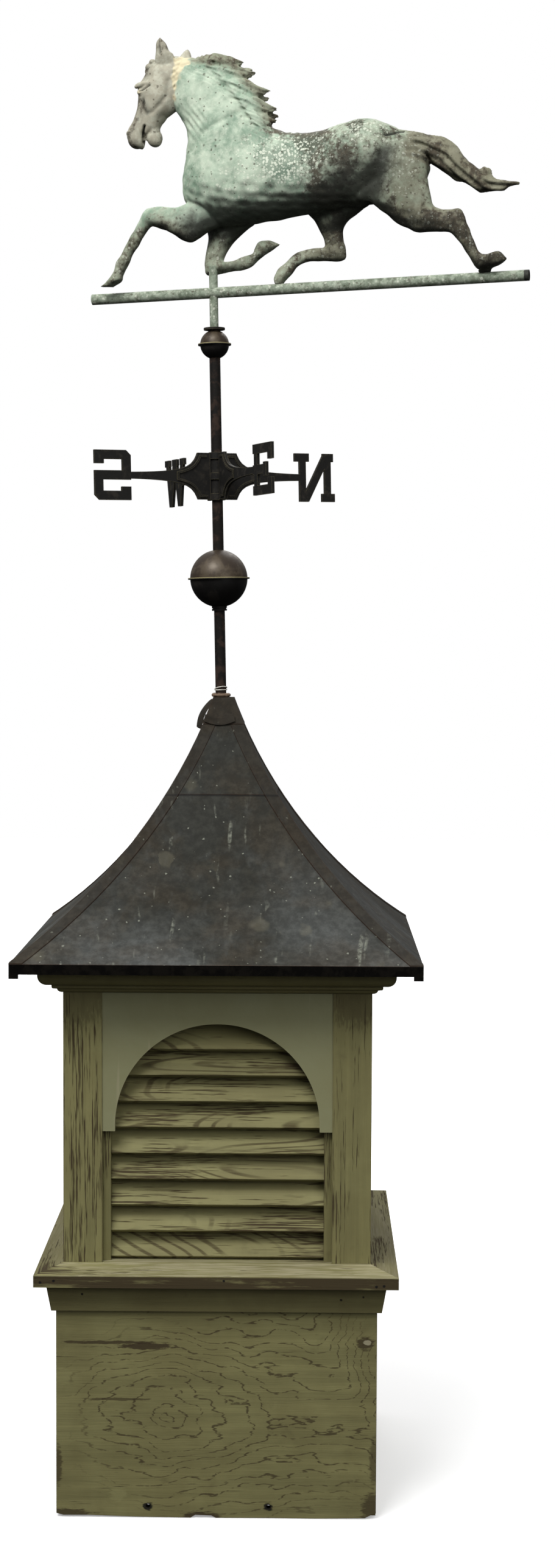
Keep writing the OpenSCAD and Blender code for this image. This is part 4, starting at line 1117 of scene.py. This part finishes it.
LOCKS = [
    [[-8, 461, -2, 430, 12, -4], [18, 460, 18, 434, 15, -6], [42, 453, 38, 430, 13, -6],
     [60, 448, 55, 433, 8, -4], [72, 444, 70, 438, 3, -2]],
    [[16, 447, 22, 414, 14, -10], [46, 440, 44, 410, 17, -10], [70, 429, 64, 404, 14, -8],
     [86, 423, 79, 407, 9, -6], [99, 421, 97, 415, 3, -4]],
    [[34, 424, 42, 388, 15, -16], [66, 412, 62, 380, 18, -15], [92, 397, 84, 371, 14, -10],
     [111, 388, 102, 371, 9, -7], [126, 383, 124, 377, 3, -4]],
    [[56, 392, 64, 356, 14, -20], [86, 378, 82, 346, 18, -17], [110, 362, 102, 338, 14, -11],
     [127, 353, 119, 337, 8, -7], [140, 349, 138, 343, 3, -4]],
    [[78, 356, 84, 322, 14, -22], [106, 343, 100, 313, 15, -15], [123, 332, 114, 312, 9, -9],
     [136, 325, 134, 319, 3, -4]],
    [[10, 452, 20, 416, 14, 8], [44, 442, 44, 410, 16, 10], [72, 432, 66, 410, 9, 8],
     [86, 431, 84, 425, 3, 5]],
    [[46, 408, 56, 372, 14, 14], [82, 394, 78, 364, 15, 13], [105, 379, 98, 360, 9, 9],
     [119, 372, 117, 366, 3, 6]],
    [[72, 366, 80, 330, 14, 18], [104, 352, 98, 322, 14, 14], [123, 343, 114, 326, 9, 9],
     [137, 338, 135, 332, 3, 6]]]
HAIR_LINES = [
    [(-20, 448), (14, 440), (52, 438), (68, 441)], [(-2, 432), (34, 420), (70, 408), (97, 417)],
    [(24, 398), (60, 390), (92, 372), (125, 379)], [(50, 368), (84, 356), (108, 338), (138, 346)],
    [(72, 334), (100, 322), (118, 310), (134, 321)], [(4, 446), (40, 430), (80, 421), (97, 417)],
    [(36, 412), (76, 395), (104, 382), (125, 379)], [(60, 380), (96, 364), (118, 350), (138, 346)]]
# Lines in the side view, as x and z.
THROAT_SHOULDER = [(-34, 274), (-14, 300), (18, 318), (58, 336), (84, 346)]
MANE_EDGE = [(-20, 470), (60, 455), (120, 385), (140, 330)]
MANE_MIDDLE = [(0, 462), (66, 432), (120, 370), (138, 320)]
TAIL_SLIT = [(358, 277), (372, 280), (388, 285)]
TAIL_LINE = [(392, 266), (430, 256), (460, 240), (484, 223), (506, 205), (530, 187), (549, 179), (609, 173)]
TAIL_TOP = [(350, 300), (430, 292), (490, 262), (530, 222), (560, 196), (612, 190)]
THIGH_FOLD = [(366, 276), (358, 246), (346, 212), (332, 172), (322, 156)]
SOLDER_LINE = [(-52, 452), (-58, 430), (-64, 404), (-68, 372)]

# Patches on the copper: strength, x, z, reach in x and reach in z.
BROWN_PATCHES = [
    (0.6, 205, 292, 75, 28), (0.6, 228, 215, 24, 75), (0.34, 330, 250, 50, 55), (0.55, 268, 190, 34, 55),
    (0.4, 150, 305, 50, 14), (0.28, 120, 230, 60, 60), (0.3, -80, 140, 50, 40)]
# Dark patches under the body and on the haunches: grime with painted shade.
DIRT_AND_SHADE_PATCHES = [
    (0.4, 286, 205, 46, 52), (0.26, 400, 200, 55, 80), (0.34, -60, 140, 60, 30), (0.42, 10, 120, 70, 34)]
DULL_PATCHES = [(0.3, 400, 190, 70, 90), (0.45, -90, 140, 50, 40)]
FLECK_PATCHES = [
    (0.85, 160, 240, 95, 60), (0.45, 380, 230, 60, 90), (0.5, 300, 290, 60, 30), (0.3, 40, 190, 60, 40)]


def solder_band(p):
    """The cream solder along the joint of head and neck, wide at the top and ragged at its edges."""
    reach = 4 + 13 * step(p[:, 2], 385, 450)
    ragged = line_distance(p, SOLDER_LINE) + 3.5 * ripple(p, 18, 8)
    return step(-ragged, -reach, -reach + 5) * step(-p[:, 1], -4, 6)


class CUPOLA_OT_horse(bpy.types.Operator):
    """Sculpt the copper horse: body, neck, mane, tail and four legs in one skin"""
    bl_idname = "cupola.horse"
    bl_label = "Sculpt the horse"

    def execute(self, context):
        limbs = [loft(shape) for shape in (TAIL_BARB, LEG_RAISED, LEG_BENT, LEG_FORWARD, LEG_BACK, HOOF_PAD)]
        locks = [loft(lock, 4, 0.1) for lock in LOCKS]
        parts = [loft(BODY, around=56), loft(TAIL, 6, 0.09), *limbs, loft(MANE, 9, 0.05), *locks]
        mesh = fused("horse_copper", parts, sizes().horse_grid)
        relax(mesh, 5)
        self.numbers(mesh, press(mesh, self.relief))
        mesh.transform(VANE)
        c = finishes()
        material = patina("horse_patina", c.verdigris, c.verdigris_dark)
        nodes = ("horse_body", "horse_mane", "horse_tail", "leg_front_raised", "leg_front_bent",
                 "leg_hind_forward", "leg_hind_back")
        add_piece("horse_copper", mesh, material, "vane", nodes)
        return {"FINISHED"}

    def relief(self, p):
        """How far each point stands out, in millimetres: dents, throat wrinkles, the shoulder's edge, the
        thigh's fold, the tail's slit and locks of hair."""
        near_side = p[:, 1] < 0
        wrinkle_gap, tail_gap = 10.5, 13
        out = 0.8 * ripple(p, 42, 1) + 0.4 * ripple(p, 15, 2)
        slant = p[:, 0] * 0.79 + p[:, 2] * 0.61
        out -= 2.4 * (0.5 + 0.5 * np.cos(slant * 2 * np.pi / wrinkle_gap)) * spot(p, -22, 328, 26, 28)
        out -= 2.6 * bell(line_distance(p, THROAT_SHOULDER), 6)
        out -= 5.0 * bell(line_distance(p, THIGH_FOLD), 13) * near_side
        out -= 3.0 * bell(line_distance(p, TAIL_SLIT), 2.2) * near_side
        out -= 2.5 * spot(p, 262, 196, 26, 30)
        crest = step(line_distance(p, MANE_MIDDLE), 62, 46)
        for line in HAIR_LINES:
            out -= 2.6 * bell(line_distance(p, line), 3.4) * crest
        out += 0.8 * crest * np.sin(p[:, 0] * 0.42 + p[:, 2] * 0.85 + 1.2 * ripple(p, 40, 5))
        tail = step(p[:, 0], 388, 420) * step(-line_distance(p, TAIL_LINE), -34, -24)
        along = line_distance(p, TAIL_TOP)
        out += 1.9 * tail * np.sin(along * 2 * np.pi / tail_gap + 0.6 * ripple(p, 60, 9))
        out += 1.3 * ripple(p, 11, 6) * solder_band(p)
        return out

    def numbers(self, mesh, p):
        """Brown, dull, fleck, solder and a number for grime with painted shade, for each point, from its
        place in the side view and the way its surface faces."""
        x, z = p[:, 0], p[:, 2]
        legs = step(-z, -150, -105)
        crest = step(line_distance(p, MANE_EDGE), 44, 14)
        # The rear half is browner and duller, and darker as painted shade, since the light falls from the
        # front left.
        rear_tone_and_shade = step(x, 150, 260)
        tail = step(x, 388, 420) * step(-line_distance(p, TAIL_LINE), -36, -24)
        haunch = step(x, 300, 420) * step(-z, -200, -120)
        down = step(-get_normals(mesh)[:, 2], -0.05, 0.8)
        # Painted shade on the lower barrel, strongest where its surface faces down.
        belly_shade = step(x, -70, -30) * step(-x, -400, -330) * step(-z, -268, -148) * step(z, 100, 122)
        fold = bell(line_distance(p, THIGH_FOLD), 22) * step(-z, -275, -240)
        slit = bell(line_distance(p, TAIL_SLIT), 2.6) * (p[:, 1] < 0)
        hair = bell(np.min([line_distance(p, line) for line in HAIR_LINES], axis=0), 3)
        brown = patches(p, BROWN_PATCHES) + 0.28 * tail + 0.34 * crest + 0.32 * legs + 0.12 * rear_tone_and_shade
        brown += 0.12 * haunch + 0.16 * ripple(p, 60, 3) * step(x, 60, 150)
        brown = brown * (1 - 0.85 * spot(p, -10, 300, 80, 110)) + 0.04
        # Painted shade with some grime: the belly, surfaces that face down, the thigh's fold, the tail's
        # slit, the mane's grooves and the rear half.
        dirt_and_shade = 0.84 * belly_shade * (0.3 + 0.7 * down) + 0.4 * down * step(-z, -330, -180) + 0.28 * legs
        dirt_and_shade += patches(p, DIRT_AND_SHADE_PATCHES) + 0.2 * rear_tone_and_shade + 0.55 * fold + 0.25 * crest * down + 0.08 * tail
        mark(mesh, "brown", brown)
        mark(mesh, "dull", patches(p, DULL_PATCHES) + 0.8 * tail + 0.7 * crest + 0.6 * legs + 0.42 * rear_tone_and_shade)
        mark(mesh, "dirt_and_shade", np.maximum.reduce([dirt_and_shade, slit, 0.5 * hair * crest]))
        mark(mesh, "fleck", patches(p, FLECK_PATCHES) + 0.3 * legs + 0.12)
        mark(mesh, "solder", solder_band(p))


# ---- Head ------------------------------------------------------------------------

FACE = [
    [-40, 452, -60, 368, 18, 0], [-56, 462, -68, 360, 23, 0], [-70, 465, -80, 352, 27, 0],
    [-88, 462, -89, 347, 30, 0], [-107, 459, -94, 344, 31, 0], [-120, 451, -99, 338, 30, 0],
    [-133, 432, -103, 331, 27, 0], [-146, 410, -106, 325, 25, 0], [-147, 387, -108, 318, 21, 0],
    [-151, 368, -114, 318, 19, 0], [-159, 346, -124, 316, 19, 0], [-170, 328, -132, 312, 19, 0],
    [-172, 312, -134, 302, 18, 0], [-164, 300, -138, 294, 14, 0], [-152, 292, -142, 289, 6, 0]]
JAW = [
    [-92, 400, -76, 372, 16, 0], [-112, 370, -92, 344, 17, 0], [-126, 340, -104, 330, 14, 0],
    [-126, 322, -104, 316, 13, 0], [-124, 306, -106, 304, 13, 0], [-122, 296, -110, 294, 8, 0]]
NEAR_EAR = [
    [-96, 426, -80, 428, 2, -8], [-104, 442, -70, 444, 7, -13], [-107, 452, -67, 456, 9, -15],
    [-106, 462, -70, 466, 10, -16], [-104, 474, -77, 472, 9, -17], [-103, 486, -83, 486, 8, -18],
    [-100, 495, -90, 494, 5, -18], [-96, 499, -94, 499, 1.5, -18]]
FAR_EAR = [
    [-72, 428, -58, 428, 2, 6], [-74, 450, -42, 448, 8, 14], [-66, 466, -42, 458, 8, 16],
    [-60, 473, -43, 468, 7, 17], [-55, 478, -45, 475, 5, 18], [-50, 481, -48, 480, 1.5, 18]]
CHEEK_EDGE = [(-134, 362), (-126, 352), (-112, 355), (-94, 370), (-81, 385), (-78, 412)]
EYE_SLIT = [(-139, 398), (-130, 400), (-115, 406)]
BROW = [(-149, 402), (-143, 414), (-130, 414), (-114, 411)]
MOUTH = [(-131, 330), (-134, 318), (-135, 303), (-134, 288)]
EAR_FOLD = [(-94, 468), (-97, 482), (-96, 494)]
EAR_SHADE = [(-94, 466), (-97, 494)]
# Eggs: centre, three radii and a tilt. First the cheeks, chin and muzzle, then three tufts of forelock.
HEAD_EGGS = [
    (-99, 0, 386, 34, 29, 36), (-116, 0, 309, 16, 14, 18, 15), (-152, 0, 310, 19, 18, 20),
    (-122, -2, 446, 9, 12, 8), (-115, -4, 455, 7, 11, 6), (-128, 4, 440, 6, 9, 7)]
# Eye, brow and nostril, which stand on both sides.
PAIRED_EGGS = [(-137, 17, 396, 8, 7, 7), (-134, 18, 410, 15, 6, 5, 12), (-164, 11, 318, 8, 7, 8)]
# Hollows under the eye, above it, in the nostril and behind the muzzle: depth, place and reach.
HEAD_HOLLOWS = [
    (5.5, -133, 378, 8, 12), (3.0, -120, 425, 14, 9), (4.0, -168, 316, 3.5, 4.5), (2.2, -142, 350, 8, 16)]
HEAD_BROWN = [(0.75, -162, 335, 20, 44), (0.4, -128, 432, 20, 14), (0.3, -130, 372, 14, 20)]
# Dark under the eye, on the lower cheek, under the jaw, down the face's front and in the nostril: grime with
# painted shade.
HEAD_DIRT_AND_SHADE = [
    (0.8, -133, 377, 6, 10), (0.45, -126, 366, 14, 22), (0.42, -96, 352, 26, 14), (0.4, -160, 380, 8, 60),
    (0.8, -168, 316, 3, 4)]


class CUPOLA_OT_head(bpy.types.Operator):
    """Sculpt the cast head: ears, forelock, brow, eyes, cheeks, nostrils, open mouth and chin"""
    bl_idname = "cupola.head"
    bl_label = "Sculpt the head"

    def execute(self, context):
        parts = [loft(shape) for shape in (FACE, JAW, NEAR_EAR, FAR_EAR)]
        parts += [blob(*egg) for egg in HEAD_EGGS]
        parts += [blob(x, side * y, *rest) for side in (-1, 1) for x, y, *rest in PAIRED_EGGS]
        mesh = fused("horse_head_cast", parts, sizes().head_grid)
        relax(mesh, 6)
        points = press(mesh, self.relief)
        relax(mesh, 1)
        self.numbers(mesh, points)
        mesh.transform(VANE)
        c = finishes()
        material = patina("head_cast", c.cast, [v * 0.72 for v in c.cast])
        add_piece("horse_head_cast", mesh, material, "vane", ("horse_head",))
        return {"FINISHED"}

    def relief(self, p):
        """How far each point stands out, in millimetres: cheek edge, eye slit, hollows, nostril and mouth."""
        out = 0.35 * ripple(p, 24, 11)
        side = step(np.abs(p[:, 1]), 5, 12)
        out -= 2.6 * bell(line_distance(p, CHEEK_EDGE), 5.0) * side
        out -= 2.6 * bell(line_distance(p, EYE_SLIT), 1.7) * side
        out += 1.8 * bell(line_distance(p, BROW), 4.0) * side
        out -= patches(p, HEAD_HOLLOWS) * side
        out -= 8.0 * bell(line_distance(p, MOUTH), 2.4)
        out -= 4.5 * bell(line_distance(p, EAR_FOLD), 3.2) * (p[:, 1] < -15)
        out += 1.3 * ripple(p, 11, 6) * solder_band(p)
        return out

    def numbers(self, mesh, p):
        """Brown, dull, fleck, solder and grime with painted shade for each point of the head."""
        brown = patches(p, HEAD_BROWN) + 0.34 * step(p[:, 2], 455, 480) + 0.14 * ripple(p, 40, 12)
        dirt_and_shade = [strength * spot(p, *place) for strength, *place in HEAD_DIRT_AND_SHADE]
        # Painted shade with some grime along the eye slit, the mouth, the cheek's edge and inside the ear.
        for strength, line, width in ((0.75, EYE_SLIT, 2.0), (1.1, MOUTH, 2.8), (0.34, CHEEK_EDGE, 5.0),
                                      (0.6, EAR_SHADE, 3.0)):
            dirt_and_shade.append(strength * bell(line_distance(p, line), width))
        dirt_and_shade = np.maximum.reduce(dirt_and_shade) * step(np.abs(p[:, 1]), 4, 10)
        # Painted shade on surfaces that face down, under the jaw and chin.
        down = step(-get_normals(mesh)[:, 2], 0.35, 0.95)
        mark(mesh, "brown", brown)
        mark(mesh, "dirt_and_shade", np.maximum(dirt_and_shade, 0.5 * down))
        mark(mesh, "fleck", np.full(len(p), 0.05))
        mark(mesh, "dull", np.zeros(len(p)))
        mark(mesh, "solder", np.maximum(solder_band(p), 0.8 * spot(p, -140, 396, 5, 4)))


# ---- Tube and sleeve -------------------------------------------------------------

class CUPOLA_OT_tube(bpy.types.Operator):
    """Colour the vane's copper tube and its sleeve"""
    bl_idname = "cupola.tube"
    bl_label = "Finish the tube"

    def execute(self, context):
        along = VANE.to_3x3().col[0]
        tail_end = (node_points("vane_tube") @ np.array(along)).max()
        dark_length = 0.010
        material = patina("tube_patina", shade("8b9684"), shade("5f6957"), flecks=0.42, brown=0.22,
                          scale=90.0, marked=False, dark_end=(along, tail_end - dark_length))
        dress(material, "vane_tube", "vane_sleeve")
        return {"FINISHED"}


# ---- Stage -----------------------------------------------------------------------

def look_at(place, target):
    """A turn that points an object at place towards the target."""
    return (Vector(target) - Vector(place)).to_track_quat("-Z", "Y").to_matrix().to_4x4()


def area_light(name, place, target, power, width, height):
    """A soft rectangular light."""
    lamp = bpy.data.lights.new(name, "AREA")
    lamp.shape = "RECTANGLE"
    lamp.size, lamp.size_y, lamp.energy = width, height, power
    obj = bpy.data.objects.new(name, lamp)
    obj.matrix_world = Matrix.Translation(place) @ look_at(place, target)
    bpy.context.scene.collection.objects.link(obj)


class CUPOLA_OT_stage(bpy.types.Operator):
    """Set the camera, the soft lights, the pale floor and the white surround"""
    bl_idname = "cupola.stage"
    bl_label = "Set the stage"

    def execute(self, context):
        scene = context.scene
        scene.view_settings.view_transform = "Standard"
        scene.view_settings.look = "None"
        self.camera(scene)
        self.surround(scene)
        self.floor()
        middle = (0, 0, 1.6)
        area_light("key", (-1.6, -3.0, 5.4), middle, 230, 2.6, 2.0)
        area_light("fill", (2.2, -3.8, 2.6), middle, 34, 2.0, 2.6)
        area_light("rim", (0.6, 2.8, 4.6), middle, 60, 2.4, 1.6)
        return {"FINISHED"}

    def camera(self, scene):
        """A camera that looks a little down and a little left. Its lens is along the picture's long side."""
        yaw, pitch, roll = -0.0114, 0.0665, 0.0044
        ahead = Vector((math.sin(yaw) * math.cos(pitch), math.cos(yaw) * math.cos(pitch), -math.sin(pitch)))
        right = Vector((math.cos(yaw), -math.sin(yaw), 0))
        up = right.cross(ahead)
        side = right * math.cos(roll) + up * math.sin(roll)
        top = up * math.cos(roll) - right * math.sin(roll)
        data = bpy.data.cameras.new("camera")
        data.sensor_fit = "AUTO"
        data.sensor_width = 36.0
        data.lens = 53.14
        place = Matrix((side, top, -ahead)).transposed().to_4x4()
        place.translation = (0.1606, -4.6241, 1.6939)
        obj = bpy.data.objects.new("camera", data)
        obj.matrix_world = place
        scene.collection.objects.link(obj)
        scene.camera = obj

    def surround(self, scene):
        """White where it is seen; as light, bright overhead and dim below."""
        world = bpy.data.worlds.new("surround")
        world.use_nodes = True
        scene.world = world
        g = Graph(world.node_tree)
        back = world.node_tree.nodes["Background"]
        height = g.axes(g.add("TexCoord").outputs["Generated"])[2]
        light = g.limit(height, -0.25, 0.9, 0.03, 0.85)
        seen = g.add("LightPath").outputs["Is Camera Ray"]
        g.put(back.inputs["Strength"], g.math("MAXIMUM", light, seen))
        back.inputs["Color"].default_value = (1, 1, 1, 1)

    def floor(self):
        """A flat square just under the object. It glows a little, and fully far out, so that it runs into the
        white surround and still shows the object's soft shadow."""
        size, gap = 14.0, 0.0005
        z = CAD_BOUNDS[0][2] - gap
        mesh = mesh_of("floor", [(-size, -size, z), (size, -size, z), (size, size, z), (-size, size, z)],
                       [[0, 1, 2, 3]])
        material, g, shader = start_material("floor_white", roughness=0.9, specular_ior_level=0.1)
        place = g.place()
        pale = g.mix(g.noise(place, 3.0, 2.0), (0.80, 0.80, 0.80), (0.83, 0.83, 0.83))
        g.put(shader.inputs["Base Color"], pale)
        shader.inputs["Emission Color"].default_value = (1, 1, 1, 1)
        far = g.limit(g.oval(place, (0, 0, 0), (1, 1, 0)), 0.5, 2.6, 0.28, 1.0)
        g.put(shader.inputs["Emission Strength"], far)
        mesh.materials.append(material)
        floor = bpy.data.objects.new("floor", mesh)
        bpy.context.scene.collection.objects.link(floor)
        floor.visible_diffuse = False
        floor.visible_glossy = False


# ---- Panel and running -----------------------------------------------------------

STEPS = (CUPOLA_OT_woodwork, CUPOLA_OT_roof, CUPOLA_OT_cap, CUPOLA_OT_mast, CUPOLA_OT_horse, CUPOLA_OT_head,
         CUPOLA_OT_tube, CUPOLA_OT_stage)


class CUPOLA_PT_panel(bpy.types.Panel):
    """The cupola's steps and settings"""
    bl_idname = "CUPOLA_PT_panel"
    bl_label = "Cupola"
    bl_space_type = "VIEW_3D"
    bl_region_type = "UI"
    bl_category = "Cupola"

    def draw(self, context):
        for step_class in STEPS:
            self.layout.operator(step_class.bl_idname)
        for group in (context.scene.cupola_sizes, context.scene.cupola_finishes):
            box = self.layout.box()
            for key in group.bl_rna.properties.keys():
                if key not in ("rna_type", "name"):
                    box.prop(group, key)


CLASSES = (CupolaFinishes, CupolaSizes, *STEPS, CUPOLA_PT_panel)


def register():
    for entry in CLASSES:
        bpy.utils.register_class(entry)
    bpy.types.Scene.cupola_finishes = PointerProperty(type=CupolaFinishes)
    bpy.types.Scene.cupola_sizes = PointerProperty(type=CupolaSizes)


def unregister():
    del bpy.types.Scene.cupola_sizes
    del bpy.types.Scene.cupola_finishes
    for entry in reversed(CLASSES):
        bpy.utils.unregister_class(entry)


def main():
    """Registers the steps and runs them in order."""
    register()
    make_groups()
    for entry in STEPS:
        section, name = entry.bl_idname.split(".")
        getattr(getattr(bpy.ops, section), name)()


if __name__ == "__main__":
    main()
